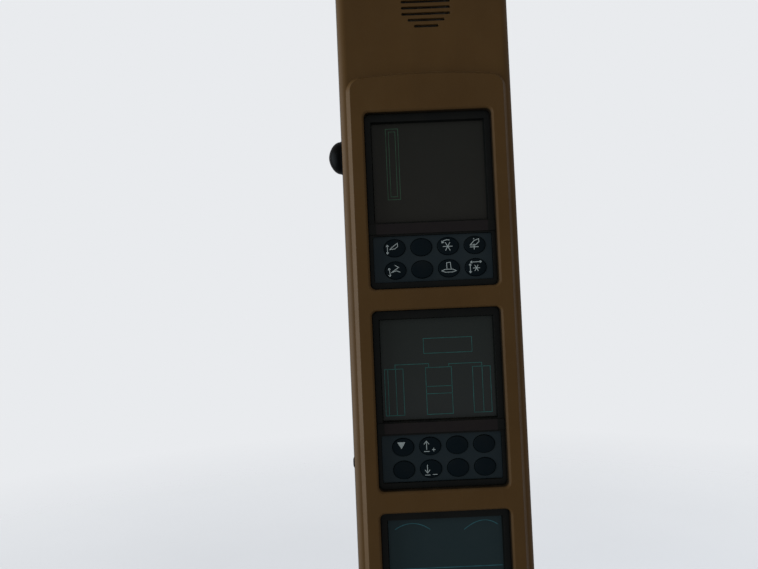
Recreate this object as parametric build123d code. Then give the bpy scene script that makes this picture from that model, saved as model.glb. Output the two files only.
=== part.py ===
# Front corner post of a combine harvester's cab, with its column of three monitor displays.
#
# A roll-formed steel post carries the cab's roof and the edges of two panes. On its inner side
# hang three monitors, one above the other, behind a moulded trim cover in two lengths. The upper
# cover has a proud panel with a drafted recess for each monitor, and a louvred grille above for
# the alarm speaker. Each monitor is a housing with a bezel, a screen and a pad of eight keys.
#
# Frame, in millimetres: +Z up, -Y towards the operator, +X to the operator's right. The origin is
# the centre of the foot plate's four bolt holes, on the plate's underside.
from build123d import *
import math
import os

# Post: a closed section with a flat front, short sides and two slanted faces for the panes
POST_HEIGHT = 1600.0
PLATE_THICKNESS = 10.0
SECTION_WALL = 3.0
SECTION_RADIUS = 6.0
SMALLEST_FOLD_RADIUS = 1.5
SECTION_HALF_WIDTH = 62.0
SECTION_SIDE_DEPTH = 22.0
NOSE_HALF_WIDTH = 20.0
PANE_ANGLE = 45.0

# Foot and head plates with their bolt holes
PLATE_WIDTH = 150.0
PLATE_DEPTH = 120.0
PLATE_CORNER = 12.0
BOLT_SPACING_X = 110.0
BOLT_SPACING_Y = 90.0
BOLT_HOLE_RADIUS = 6.5
GUSSET_THICKNESS = 5.0
GUSSET_REACH = 24.0
GUSSET_HEIGHT = 60.0
GUSSET_SPACING = 50.0
PLATE_WINDOW_WIDTH = 64.0
PLATE_WINDOW_DEPTH = 36.0
PLATE_WINDOW_CORNER = 6.0

# Trim cover: a channel in plan, open towards the post
COVER_WIDTH = 188.0
COVER_WALL = 3.0
COVER_DRAFT = 2.0
COVER_LIP = 14.0
COVER_EDGE_RADIUS = 9.5
COVER_DEPTH = 72.0
COVER_TO_POST = 10.0
COVER_FLOOR_GAP = 2.0
COVER_ROOF_GAP = 4.0
COVER_SPLIT_DROP = 54.0
SPIGOT_HEIGHT = 12.0
SPIGOT_WALL = 2.5
SLIP_GAP = 0.3
# How far a cut runs on past what it cuts
CUT_OVERRUN = 1.0

# Proud panel round the monitors: its ends are shallow arches
PANEL_PROUD = 6.0
PANEL_MARGIN_X = 13.5
PANEL_MARGIN_Z = 39.0
PANEL_ARCH_RISE = 4.5
PANEL_CORNER = 12.0
PANEL_FLANK_DRAFT = 35.0

# Column of monitors
MONITOR_NAMES = ("upper", "middle", "lower")
MONITOR_BRIDGE = 22.5
UPPER_MONITOR_DROP = 290.0

# Recess in the panel for each monitor
RECESS_WIDTH = 139.0
RECESS_HEIGHT = 192.4
RECESS_CORNER = 6.0
RECESS_DEPTH = 8.5
RECESS_DRAFT = 5.0
RECESS_WALL = 2.5
RECESS_RIM_CHAMFER = 1.8
BRIDGE_RIB_THICKNESS = 2.5
BRIDGE_RIB_DEPTH = 16.0
SCREW_BOSS_RADIUS = 4.0
SCREW_BOSS_SIDES = 8

# Bezel, in the recess's floor
BEZEL_PROUD = 1.0
BEZEL_THICKNESS = 8.5
BEZEL_FLANGE_THICKNESS = 2.5
BEZEL_FLANGE_OVERLAP = 4.0
BEZEL_CORNER = 6.0
EAR_WIDTH = 15.0
EAR_HEIGHT = 10.0
EAR_INWARD = 2.5
EAR_OFFSET_X = 4.0
EAR_OFFSET_Z = 12.0
CROSSBAR_HEIGHT = 12.0
CROSSBAR_PROUD = 1.5
CROSSBAR_ROUND = 1.0

# Screen
SCREEN_WIDTH = 122.5
SCREEN_HEIGHT = 108.5
SCREEN_BELOW_HEAD = 64.8
SCREEN_BEVEL = 12.0
LENS_THICKNESS = 2.0
LENS_REBATE = 1.2
LCD_THICKNESS = 1.6

# Key pad: four columns and two rows of oval keys
PAD_WIDTH = 129.0
PAD_HEIGHT = 50.0
PAD_ABOVE_FOOT = 32.5
PAD_CORNER = 1.6
PAD_SUNK = 2.2
PAD_PLATE_THICKNESS = 1.6
PAD_MAT_THICKNESS = 1.5
KEY_COLUMNS = 4
KEY_ROWS = 2
KEY_PITCH_X = 29.1
KEY_PITCH_Z = 24.3
KEY_WIDTH = 22.8
KEY_HEIGHT = 18.8
KEYS_ASIDE = 2.2
KEY_PROUD = 1.4
KEY_CHAMFER = 0.7
KEY_GAP = 0.5
# The repeated ovals have few sides, to stay light
OVAL_SIDES = 12

# Monitor housing and its socket
HOUSING_WIDTH = 120.0
HOUSING_HEIGHT = 170.0
HOUSING_DEPTH = 36.0
HOUSING_CORNER = 5.0
FIN_COUNT = 7
FIN_PITCH = 9.0
FIN_THICKNESS = 2.0
FIN_DEPTH = 3.0
FIN_HEIGHT = 60.0
FIN_CENTRE_Z = 44.0
STANDOFF_SIZE = 10.0
STANDOFF_SPACING_X = 84.0
STANDOFF_SPACING_Z = 98.0
SOCKET_WIDTH = 44.0
SOCKET_HEIGHT = 24.0
SOCKET_DEPTH = 14.0
SOCKET_WALL = 2.0
SOCKET_CENTRE_Z = -22.0
PIN_COLUMNS = 6
PIN_ROWS = 2
PIN_PITCH = 5.5
PIN_WIDTH = 1.6
PIN_THICKNESS = 0.8
PIN_LENGTH = 4.5

# Sheet-metal brackets on the post: a plate behind each monitor, and bent straps for the covers
BRACKET_THICKNESS = 2.0
BRACKET_WIDTH = 104.0
BRACKET_HEIGHT = 118.0
BRACKET_CORNER = 6.0
WINDOW_WIDTH = 60.0
WINDOW_HEIGHT = 44.0
STRAP_HEIGHT = 24.0
STRAP_TAB_LENGTH = 22.0
STRAP_TAB_REACH = 32.0
STRAP_ABOVE_FLOOR = 150.0
STRAP_FROM_SPLIT = 45.0
STRAP_BELOW_MONITOR = 77.0
STRAP_BELOW_TOP = 20.0

# Louvred grille and alarm speaker
GRILLE_RISE = 217.8
GRILLE_ASIDE = 3.8
GRILLE_PITCH = 6.83
GRILLE_SLOT_HEIGHT = 3.2
GRILLE_SLOT_CORNER = 1.0
GRILLE_SLOT_LENGTHS = (27.0, 40.8, 54.2, 54.2, 54.2, 54.2, 54.2, 40.8, 27.0)
SPEAKER_RADIUS = 35.0
SPEAKER_DEPTH = 24.0
SPEAKER_RIM_THICKNESS = 2.5
SPEAKER_SEAT_HEIGHT = 5.0
SPEAKER_WALL = 1.5
SPEAKER_CONE_RADIUS = 29.0
SPEAKER_CONE_DEPTH = 10.0
SPEAKER_CONE_THICKNESS = 1.0
SPEAKER_MAGNET_RADIUS = 17.0
SPEAKER_MAGNET_HEIGHT = 11.0
SPEAKER_DUST_CAP_RADIUS = 9.0
SPEAKER_DUST_CAP_RISE = 3.0
# Hidden round pieces are turned with few sides, to stay light
TURNED_SIDES = 16

# Rubber along the panes' edges
SEAL_RADIUS = 4.4
SEAL_BORE_RADIUS = 2.8
SEAL_PROUD = 1.6
SEAL_GRIP_LENGTH = 9.0
SEAL_GRIP_THICKNESS = 1.6
BEAD_WIDTH = 30.0
BEAD_THICKNESS = 3.0
FINISHER_THICKNESS = 8.0
FINISHER_WIDTH = 44.0
FINISHER_ROOT_WIDTH = 36.0
FINISHER_ROUND = 2.5
STRIP_END_GAP = 8.0

# Domed cap on the cover's left side
CAP_RISE = 59.0
CAP_FROM_BACK = 24.0
# Profile of the cap: radius and height of each ring, from its foot to its crown
CAP_RINGS = ((19.0, 0.0), (18.2, 4.8), (15.4, 9.6), (10.6, 13.4), (4.0, 16.0))

# Places that follow from the sizes above
SLANT = math.radians(PANE_ANGLE)
SLANT_RUN_X = SECTION_HALF_WIDTH - NOSE_HALF_WIDTH
SLANT_RUN_Y = SLANT_RUN_X * math.tan(SLANT)
SECTION_DEPTH = SECTION_SIDE_DEPTH + SLANT_RUN_Y
SECTION_FRONT_Y = -30.0
SECTION_SHOULDER_Y = SECTION_FRONT_Y + SECTION_SIDE_DEPTH
NOSE_Y = SECTION_FRONT_Y + SECTION_DEPTH
SECTION_BOTTOM_Z = PLATE_THICKNESS
SECTION_TOP_Z = POST_HEIGHT - PLATE_THICKNESS
COVER_BACK_Y = SECTION_FRONT_Y - COVER_TO_POST
PANEL_Y = COVER_BACK_Y - COVER_DEPTH
PLAIN_Y = PANEL_Y + PANEL_PROUD
COVER_BOTTOM_Z = COVER_FLOOR_GAP
COVER_TOP_Z = SECTION_TOP_Z - COVER_ROOF_GAP
MONITOR_PITCH = RECESS_HEIGHT + MONITOR_BRIDGE
UPPER_MONITOR_Z = POST_HEIGHT - UPPER_MONITOR_DROP
MONITOR_Z = [UPPER_MONITOR_Z - MONITOR_PITCH * i for i in range(len(MONITOR_NAMES))]
PANEL_HALF_WIDTH = RECESS_WIDTH / 2 + PANEL_MARGIN_X
PANEL_TOP_Z = MONITOR_Z[0] + RECESS_HEIGHT / 2 + PANEL_MARGIN_Z
PANEL_BOTTOM_Z = MONITOR_Z[-1] - RECESS_HEIGHT / 2 - PANEL_MARGIN_Z
COVER_SPLIT = PANEL_BOTTOM_Z - COVER_SPLIT_DROP
SCREEN_CENTRE_Z = RECESS_HEIGHT / 2 - SCREEN_BELOW_HEAD
PAD_CENTRE_Z = PAD_ABOVE_FOOT - RECESS_HEIGHT / 2
RECESS_FLOOR_Y = PANEL_Y + RECESS_DEPTH
RECESS_TAPER = RECESS_DEPTH * math.tan(math.radians(RECESS_DRAFT))
BEZEL_WIDTH = RECESS_WIDTH - 2 * RECESS_TAPER - 2 * SLIP_GAP
BEZEL_HEIGHT = RECESS_HEIGHT - 2 * RECESS_TAPER - 2 * SLIP_GAP
BEZEL_FRONT_Y = RECESS_FLOOR_Y - BEZEL_PROUD
BEZEL_BACK_Y = BEZEL_FRONT_Y + BEZEL_THICKNESS
LCD_BACK_Y = BEZEL_BACK_Y
LENS_BACK_Y = LCD_BACK_Y - LCD_THICKNESS
LENS_FRONT_Y = LENS_BACK_Y - LENS_THICKNESS
PAD_FRONT_Y = BEZEL_FRONT_Y + PAD_SUNK
PAD_MAT_FRONT_Y = PAD_FRONT_Y + PAD_PLATE_THICKNESS
PAD_FLOOR_Y = PAD_MAT_FRONT_Y + PAD_MAT_THICKNESS
HOUSING_BACK_Y = BEZEL_BACK_Y + HOUSING_DEPTH
WEB_FRONT_Y = SECTION_FRONT_Y - BRACKET_THICKNESS
SOCKET_BACK_Y = HOUSING_BACK_Y + SOCKET_DEPTH
GRILLE_Z = MONITOR_Z[0] + GRILLE_RISE
SPEAKER_Y = PLAIN_Y + COVER_WALL + SPEAKER_SEAT_HEIGHT
STRAP_FRONT_Y = COVER_BACK_Y - STRAP_TAB_REACH
STRAP_BEND_Y = STRAP_FRONT_Y + STRAP_TAB_LENGTH
STRAP_HEIGHTS = (
    COVER_BOTTOM_Z + STRAP_ABOVE_FLOOR,
    COVER_SPLIT - STRAP_FROM_SPLIT,
    COVER_SPLIT + STRAP_FROM_SPLIT,
    MONITOR_Z[1] - STRAP_BELOW_MONITOR,
    COVER_TOP_Z - STRAP_BELOW_TOP,
)


def half_width(y):
    """Half the cover's outer width at depth y: the side walls splay by the moulding draft."""
    return COVER_WIDTH / 2 + (y - PANEL_Y) * math.tan(math.radians(COVER_DRAFT))


def column(sketch, bottom, top):
    """Extrude a plan sketch from one height to another."""
    return Pos(0, 0, bottom) * extrude(sketch, top - bottom)


def slab(sketch, front_y, back_y, taper=0.0):
    """Extrude a sketch of the front view from front_y back into the post, narrowing by taper."""
    plane = Plane(origin=(0, front_y, 0), x_dir=(1, 0, 0), z_dir=(0, 1, 0))
    return extrude(plane * mirror(sketch, Plane.XZ), back_y - front_y, taper=taper)


def at_height(shape, z, x=0.0):
    """Move a shape modelled about its own middle to its place on the post."""
    return Pos(x, 0, z) * shape


def cornered(width, height, cut):
    """A rectangle with its four corners cut off at 45 degrees."""
    outline = Rectangle(width, height)
    return chamfer(outline.vertices(), cut)


def section_outline(inset):
    """The post's section in plan, moved inwards by inset, with its corners rounded."""
    outline = make_face(
        Polyline(
            (-SECTION_HALF_WIDTH, SECTION_FRONT_Y),
            (SECTION_HALF_WIDTH, SECTION_FRONT_Y),
            (SECTION_HALF_WIDTH, SECTION_SHOULDER_Y),
            (NOSE_HALF_WIDTH, NOSE_Y),
            (-NOSE_HALF_WIDTH, NOSE_Y),
            (-SECTION_HALF_WIDTH, SECTION_SHOULDER_Y),
            close=True,
        )
    )
    if inset > 0:
        outline = offset(outline, -inset, kind=Kind.INTERSECTION)
    return fillet(outline.vertices(), max(SECTION_RADIUS - inset, SMALLEST_FOLD_RADIUS))


def wiring_window(front_y, wall):
    """A cut through a wall behind a monitor's socket."""
    return slab(Rectangle(WINDOW_WIDTH, WINDOW_HEIGHT), front_y - wall, front_y + 2 * wall)


def post_section():
    """The closed steel section, with a window behind each monitor for its wiring."""
    walls = column(section_outline(0.0) - section_outline(SECTION_WALL), SECTION_BOTTOM_Z, SECTION_TOP_Z)
    for z in MONITOR_Z:
        walls -= at_height(wiring_window(SECTION_FRONT_Y, SECTION_WALL), z + SOCKET_CENTRE_Z)
    return walls


def end_plate(bottom):
    """A plate with four bolt holes, and a window over the section's hollow for the wiring."""
    outline = cornered(PLATE_WIDTH, PLATE_DEPTH, PLATE_CORNER)
    outline -= cornered(PLATE_WINDOW_WIDTH, PLATE_WINDOW_DEPTH, PLATE_WINDOW_CORNER)
    for hole in GridLocations(BOLT_SPACING_X, BOLT_SPACING_Y, 2, 2):
        outline -= hole * Circle(BOLT_HOLE_RADIUS)
    return column(outline, bottom, bottom + PLATE_THICKNESS)


def foot_plate():
    """The lower plate, with two gussets up the front of the section."""
    plate = end_plate(0.0)
    triangle = Polygon(
        (SECTION_FRONT_Y, PLATE_THICKNESS),
        (SECTION_FRONT_Y - GUSSET_REACH, PLATE_THICKNESS),
        (SECTION_FRONT_Y, PLATE_THICKNESS + GUSSET_HEIGHT),
        align=None,
    )
    for x in (-GUSSET_SPACING / 2, GUSSET_SPACING / 2):
        plate += extrude(Plane.YZ.offset(x - GUSSET_THICKNESS / 2) * triangle, GUSSET_THICKNESS)
    return plate


def channel_outline(inset):
    """Outline of the cover in plan, moved inwards by inset from its outer surface."""
    front = PLAIN_Y + inset
    back = COVER_BACK_Y - inset
    shift = inset / math.cos(math.radians(COVER_DRAFT))
    near = half_width(front) - shift
    far = half_width(back) - shift
    outline = make_face(Polyline((-near, front), (near, front), (far, back), (-far, back), close=True))
    corners = outline.vertices().sort_by(Axis.Y)[:2]
    return fillet(corners, max(COVER_EDGE_RADIUS - inset, SMALLEST_FOLD_RADIUS))


def lip_gap():
    """The open back of the cover, between its two inward lips, in plan."""
    half = half_width(COVER_BACK_Y) - COVER_LIP
    return Pos(0, COVER_BACK_Y) * Rectangle(2 * half, 2 * (COVER_WALL + CUT_OVERRUN))


def proud_panel(inset):
    """The proud panel with its arched ends, round corners and sloping flanks, moved in by inset."""
    half = PANEL_HALF_WIDTH - inset
    top = PANEL_TOP_Z - inset
    bottom = PANEL_BOTTOM_Z + inset
    high = top - PANEL_ARCH_RISE
    low = bottom + PANEL_ARCH_RISE
    outline = make_face(
        [
            Line((-half, low), (-half, high)),
            ThreePointArc((-half, high), (0, top), (half, high)),
            Line((half, high), (half, low)),
            ThreePointArc((half, low), (0, bottom), (-half, low)),
        ]
    )
    outline = fillet(outline.vertices(), PANEL_CORNER)
    return slab(outline, PANEL_Y + inset, PLAIN_Y + inset + COVER_WALL, taper=-PANEL_FLANK_DRAFT)


def cover_mass(inset, bottom, top):
    """The upper cover as if it were solid, moved inwards by inset."""
    return column(channel_outline(inset), bottom, top) + proud_panel(inset)


def recess(depth):
    """The drafted hollow that a monitor's front looks through."""
    outline = RectangleRounded(RECESS_WIDTH, RECESS_HEIGHT, RECESS_CORNER)
    return slab(outline, PANEL_Y, PANEL_Y + depth, taper=RECESS_DRAFT)


def recess_walls():
    """The block that a recess is cut from, one wall wider on each side."""
    outline = Rectangle(RECESS_WIDTH + 2 * RECESS_WALL, RECESS_HEIGHT + 2 * RECESS_WALL)
    return slab(outline, PANEL_Y, RECESS_FLOOR_Y, taper=RECESS_DRAFT)


def ear_places():
    """Where the bezel's four ears meet the cover's bosses, about the monitor's middle."""
    x = BEZEL_WIDTH / 2 + BEZEL_FLANGE_OVERLAP + EAR_OFFSET_X
    z = BEZEL_HEIGHT / 2 - EAR_OFFSET_Z
    return GridLocations(2 * x, 2 * z, 2, 2)


def screw_bosses():
    """Four bosses on the back of the panel, one for each ear."""
    posts = Sketch() + [
        place * RegularPolygon(SCREW_BOSS_RADIUS, SCREW_BOSS_SIDES) for place in ear_places()
    ]
    return slab(posts, PANEL_Y + COVER_WALL / 2, RECESS_FLOOR_Y)


def grille_slots():
    """The louvre's slots, longest in the middle, cut through the plain face."""
    first = -(len(GRILLE_SLOT_LENGTHS) - 1) / 2
    slots = Sketch() + [
        Pos(0, (first + row) * GRILLE_PITCH) * cornered(length, GRILLE_SLOT_HEIGHT, GRILLE_SLOT_CORNER)
        for row, length in enumerate(GRILLE_SLOT_LENGTHS)
    ]
    back = PLAIN_Y + COVER_WALL + CUT_OVERRUN
    return at_height(slab(slots, PLAIN_Y - CUT_OVERRUN, back), GRILLE_Z, GRILLE_ASIDE)


def speaker_seat():
    """The ring on the back of the plain face that the speaker's rim sits on."""
    ring = RegularPolygon(SPEAKER_RADIUS, TURNED_SIDES)
    ring -= RegularPolygon(SPEAKER_CONE_RADIUS, TURNED_SIDES)
    seat = slab(ring, PLAIN_Y + COVER_WALL / 2, PLAIN_Y + COVER_WALL + SPEAKER_SEAT_HEIGHT)
    return at_height(seat, GRILLE_Z, GRILLE_ASIDE)


def bridge_ribs(inner):
    """A rib across the back of each bridge between two monitors, and one past each end."""
    middles = [MONITOR_Z[0] + MONITOR_PITCH / 2 - i * MONITOR_PITCH for i in range(len(MONITOR_Z) + 1)]
    front = PANEL_Y + COVER_WALL / 2
    rib = Rectangle(2 * half_width(COVER_BACK_Y), BRIDGE_RIB_THICKNESS)
    ribs = [at_height(slab(rib, front, front + BRIDGE_RIB_DEPTH), z) for z in middles]
    return [rib & inner for rib in ribs]


def cover_upper():
    """The upper length of trim: panel, recesses, bosses, ribs, grille and speaker seat."""
    bottom = COVER_SPLIT
    inner = cover_mass(COVER_WALL, bottom - CUT_OVERRUN, COVER_TOP_Z + CUT_OVERRUN)
    # The ribs and walls root in the skin, so they are cut to a mass that lies half a wall further out
    rooted = cover_mass(COVER_WALL / 2, bottom, COVER_TOP_Z)
    cover = cover_mass(0.0, bottom, COVER_TOP_Z) - inner
    cover -= column(lip_gap(), bottom - CUT_OVERRUN, COVER_TOP_Z + CUT_OVERRUN)
    for rib in bridge_ribs(rooted):
        cover += rib
    for z in MONITOR_Z:
        cover += at_height(recess_walls(), z) & rooted
        cover += at_height(screw_bosses(), z)
    for z in MONITOR_Z:
        cover -= at_height(recess(2 * RECESS_DEPTH), z)
    cover += speaker_seat()
    cover -= grille_slots()
    return chamfer(cover.edges().filter_by(on_a_rim), RECESS_RIM_CHAMFER)


def on_a_rim(edge):
    """Whether an edge lies on the rim of one of the recesses, in the panel's face."""
    middle = edge.center()
    on_face = abs(middle.Y - PANEL_Y) < SLIP_GAP
    within_x = abs(middle.X) < RECESS_WIDTH / 2 + SLIP_GAP
    within_z = any(abs(middle.Z - z) < RECESS_HEIGHT / 2 + SLIP_GAP for z in MONITOR_Z)
    return on_face and within_x and within_z


def channel(inset, wall, bottom, top):
    """A length of plain open channel in plan, whose outside lies inset from the cover's."""
    outline = channel_outline(inset) - channel_outline(inset + wall) - lip_gap()
    return column(outline, bottom, top)


def cover_lower():
    """The plain lower length of trim, with a spigot that slips inside the upper one."""
    cover = channel(0.0, COVER_WALL, COVER_BOTTOM_Z, COVER_SPLIT)
    cover += channel(COVER_WALL, SPIGOT_WALL, COVER_SPLIT - SPIGOT_HEIGHT, COVER_SPLIT)
    cover += channel(COVER_WALL + SLIP_GAP, SPIGOT_WALL - SLIP_GAP, COVER_SPLIT, COVER_SPLIT + SPIGOT_HEIGHT)
    return cover


def bezel_flange():
    """The flange behind the recess's floor, with an ear at each boss."""
    outline = Rectangle(BEZEL_WIDTH + 2 * BEZEL_FLANGE_OVERLAP, BEZEL_HEIGHT + 2 * BEZEL_FLANGE_OVERLAP)
    for place in ear_places():
        inward = -math.copysign(EAR_INWARD, place.position.X)
        outline += place * Pos(inward, 0) * Rectangle(EAR_WIDTH, EAR_HEIGHT)
    front = RECESS_FLOOR_Y + SLIP_GAP
    return slab(outline, front, front + BEZEL_FLANGE_THICKNESS)


def crossbar():
    """The proud bar between the screen and the pad, with its two long edges rounded."""
    middle = (SCREEN_CENTRE_Z - SCREEN_HEIGHT / 2 + PAD_CENTRE_Z + PAD_HEIGHT / 2) / 2
    outline = Pos(0, middle) * Rectangle(BEZEL_WIDTH, CROSSBAR_HEIGHT)
    bar = slab(outline, BEZEL_FRONT_Y - CROSSBAR_PROUD, BEZEL_FRONT_Y + CROSSBAR_PROUD)
    return fillet(bar.faces().sort_by(Axis.Y)[0].edges().filter_by(Axis.X), CROSSBAR_ROUND)


def screen_outline(extra):
    """The screen's rectangle in the front view, grown by extra on each side."""
    return Pos(0, SCREEN_CENTRE_Z) * Rectangle(SCREEN_WIDTH + 2 * extra, SCREEN_HEIGHT + 2 * extra)


def pad_outline(extra):
    """The key pad's rectangle in the front view, grown by extra on each side."""
    return Pos(0, PAD_CENTRE_Z) * cornered(PAD_WIDTH + 2 * extra, PAD_HEIGHT + 2 * extra, PAD_CORNER)


def bezel():
    """The monitor's front frame: bevelled screen opening, crossbar, pad pocket and flange."""
    body = slab(RectangleRounded(BEZEL_WIDTH, BEZEL_HEIGHT, BEZEL_CORNER), BEZEL_FRONT_Y, BEZEL_BACK_Y)
    body += bezel_flange()
    body += crossbar()
    reach = (LENS_FRONT_Y - BEZEL_FRONT_Y) * math.tan(math.radians(SCREEN_BEVEL))
    body -= slab(screen_outline(reach), BEZEL_FRONT_Y, LENS_FRONT_Y, taper=SCREEN_BEVEL)
    body -= slab(screen_outline(LENS_REBATE + SLIP_GAP), LENS_FRONT_Y, BEZEL_BACK_Y)
    body -= slab(pad_outline(SLIP_GAP), BEZEL_FRONT_Y - CROSSBAR_PROUD, PAD_FLOOR_Y)
    return body


def lens():
    """The screen's clear window, in the bezel's rebate."""
    return slab(screen_outline(LENS_REBATE), LENS_FRONT_Y, LENS_BACK_Y)


def lcd():
    """The display behind the window."""
    return slab(screen_outline(LENS_REBATE), LENS_BACK_Y, LCD_BACK_Y)


def key_places():
    """The middles of the keys, about the monitor's middle: they stand a little to the right."""
    return [
        Pos(KEYS_ASIDE, PAD_CENTRE_Z) * place
        for place in GridLocations(KEY_PITCH_X, KEY_PITCH_Z, KEY_COLUMNS, KEY_ROWS)
    ]


def oval(width, height):
    """An oval of a few straight sides, for what repeats."""
    turns = [2 * math.pi * (side + 0.5) / OVAL_SIDES for side in range(OVAL_SIDES)]
    points = [(width / 2 * math.cos(turn), height / 2 * math.sin(turn)) for turn in turns]
    return make_face(Polyline(*points, close=True))


def keypad_plate():
    """The pad's face, with an oval hole for each key."""
    outline = pad_outline(0.0)
    for place in key_places():
        outline -= place * oval(KEY_WIDTH + 2 * KEY_GAP, KEY_HEIGHT + 2 * KEY_GAP)
    return slab(outline, PAD_FRONT_Y, PAD_MAT_FRONT_Y)


def keymat():
    """One moulded mat with eight oval keys that stand through the plate."""
    mat = slab(pad_outline(0.0), PAD_MAT_FRONT_Y, PAD_FLOOR_Y)
    key = slab(oval(KEY_WIDTH, KEY_HEIGHT), PAD_FRONT_Y - KEY_PROUD, PAD_MAT_FRONT_Y)
    key = chamfer(key.faces().sort_by(Axis.Y)[0].edges(), KEY_CHAMFER)
    for place in key_places():
        mat += Pos(place.position.X, 0, place.position.Y) * key
    return mat


def housing():
    """The closed box of electronics, with cooling fins and four stand-offs on its back."""
    outline = cornered(HOUSING_WIDTH, HOUSING_HEIGHT, HOUSING_CORNER)
    body = slab(outline, BEZEL_BACK_Y, HOUSING_BACK_Y)
    fins = Sketch() + [
        Pos(0, FIN_CENTRE_Z) * place * Rectangle(FIN_THICKNESS, FIN_HEIGHT)
        for place in GridLocations(FIN_PITCH, 1, FIN_COUNT, 1)
    ]
    body += slab(fins, HOUSING_BACK_Y, HOUSING_BACK_Y + FIN_DEPTH)
    posts = Sketch() + [
        place * Rectangle(STANDOFF_SIZE, STANDOFF_SIZE)
        for place in GridLocations(STANDOFF_SPACING_X, STANDOFF_SPACING_Z, 2, 2)
    ]
    body += slab(posts, HOUSING_BACK_Y, WEB_FRONT_Y)
    return body


def socket():
    """The wiring socket on the housing's back: a shell, open to the rear, with its pins."""
    middle = Pos(0, SOCKET_CENTRE_Z)
    shell = middle * Rectangle(SOCKET_WIDTH, SOCKET_HEIGHT)
    cavity = middle * Rectangle(SOCKET_WIDTH - 2 * SOCKET_WALL, SOCKET_HEIGHT - 2 * SOCKET_WALL)
    body = slab(shell, HOUSING_BACK_Y, SOCKET_BACK_Y)
    body -= slab(cavity, HOUSING_BACK_Y + SOCKET_WALL, SOCKET_BACK_Y)
    pins = Sketch() + [
        middle * place * Rectangle(PIN_WIDTH, PIN_THICKNESS)
        for place in GridLocations(PIN_PITCH, PIN_PITCH, PIN_COLUMNS, PIN_ROWS)
    ]
    body += slab(pins, HOUSING_BACK_Y + SOCKET_WALL / 2, HOUSING_BACK_Y + SOCKET_WALL + PIN_LENGTH)
    return body


def sheet_edge(points, thickness):
    """A bent sheet's edge in plan: the line through the points, thickened to its right."""
    corners = [Vector(*point) for point in points]
    across = []
    for start, end in zip(corners, corners[1:]):
        along = (end - start).normalized()
        across.append(Vector(along.Y, -along.X))
    far_side = [corners[0] + across[0] * thickness]
    for corner, before, after in zip(corners[1:-1], across, across[1:]):
        mitre = (before + after).normalized()
        far_side.append(corner + mitre * (thickness / mitre.dot(before)))
    far_side.append(corners[-1] + across[-1] * thickness)
    ring = [(point.X, point.Y) for point in corners + far_side[::-1]]
    return make_face(Polyline(*ring, close=True))


def inside_x(y):
    """Half the clear width inside the cover's side walls at depth y."""
    return half_width(y) - COVER_WALL / math.cos(math.radians(COVER_DRAFT)) - SLIP_GAP


def strap(z):
    """A bent strap from one side wall of the cover, across the post's front, to the other."""
    web = BRACKET_WIDTH / 2
    points = [
        (-inside_x(STRAP_FRONT_Y), STRAP_FRONT_Y),
        (-inside_x(STRAP_BEND_Y), STRAP_BEND_Y),
        (-web, SECTION_FRONT_Y),
        (web, SECTION_FRONT_Y),
        (inside_x(STRAP_BEND_Y), STRAP_BEND_Y),
        (inside_x(STRAP_FRONT_Y), STRAP_FRONT_Y),
    ]
    return column(sheet_edge(points, BRACKET_THICKNESS), z - STRAP_HEIGHT / 2, z + STRAP_HEIGHT / 2)


def bracket():
    """A monitor's bracket: a plate on the post's front, with a window for the wiring."""
    outline = cornered(BRACKET_WIDTH, BRACKET_HEIGHT, BRACKET_CORNER)
    plate = slab(outline, WEB_FRONT_Y, SECTION_FRONT_Y)
    return plate - at_height(wiring_window(WEB_FRONT_Y, BRACKET_THICKNESS), SOCKET_CENTRE_Z)


def turned(rings):
    """A many-sided turned body, upright, from the radius and height of each ring."""
    body = Part()
    for (radius, height), (next_radius, next_height) in zip(rings, rings[1:]):
        rise = next_height - height
        narrowing = (radius - next_radius) * math.cos(math.pi / TURNED_SIDES)
        ring = Pos(0, 0, height) * RegularPolygon(radius, TURNED_SIDES)
        body += extrude(ring, rise, taper=math.degrees(math.atan2(narrowing, rise)))
    return body


def on_side_wall(shape, side, y, z):
    """Stand an upright shape on the outside of the cover's right (1) or left (-1) side wall."""
    placed = Pos(half_width(y), y, z) * Rot(0, 0, -COVER_DRAFT) * Rot(0, 90, 0) * shape
    return placed if side > 0 else mirror(placed, Plane.YZ)


def seal(side):
    """The hollow rubber bulb along the cover's back edge, with the grip that holds the lip."""
    x = half_width(COVER_BACK_Y) + SEAL_PROUD - SEAL_RADIUS
    y = COVER_BACK_Y + SEAL_RADIUS
    bulb = Pos(x, y) * Circle(SEAL_RADIUS)
    grip_x = x - SEAL_GRIP_LENGTH / 2
    grip = Pos(grip_x, COVER_BACK_Y + SEAL_GRIP_THICKNESS / 2) * Rectangle(
        SEAL_GRIP_LENGTH, SEAL_GRIP_THICKNESS
    )
    outline = bulb + grip - Pos(x, y) * Circle(SEAL_BORE_RADIUS)
    if side < 0:
        outline = mirror(outline, Plane.YZ)
    return column(outline, COVER_BOTTOM_Z, COVER_TOP_Z)


def slant_place(side, along, out):
    """A point on a slanted face: along from the face's middle, out from its surface."""
    middle_x = (SECTION_HALF_WIDTH + NOSE_HALF_WIDTH) / 2
    middle_y = (SECTION_SHOULDER_Y + NOSE_Y) / 2
    x = middle_x - along * math.cos(SLANT) + out * math.sin(SLANT)
    y = middle_y + along * math.sin(SLANT) + out * math.cos(SLANT)
    return (side * x, y)


def glazing_bead(side):
    """The rubber strip on a slanted face, which the edge of a pane is bonded to."""
    half = BEAD_WIDTH / 2
    corners = [(-half, 0.0), (half, 0.0), (half, BEAD_THICKNESS), (-half, BEAD_THICKNESS)]
    outline = make_face(Polyline(*[slant_place(side, a, o) for a, o in corners], close=True))
    return column(outline, SECTION_BOTTOM_Z + STRIP_END_GAP, SECTION_TOP_Z - STRIP_END_GAP)


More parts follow.
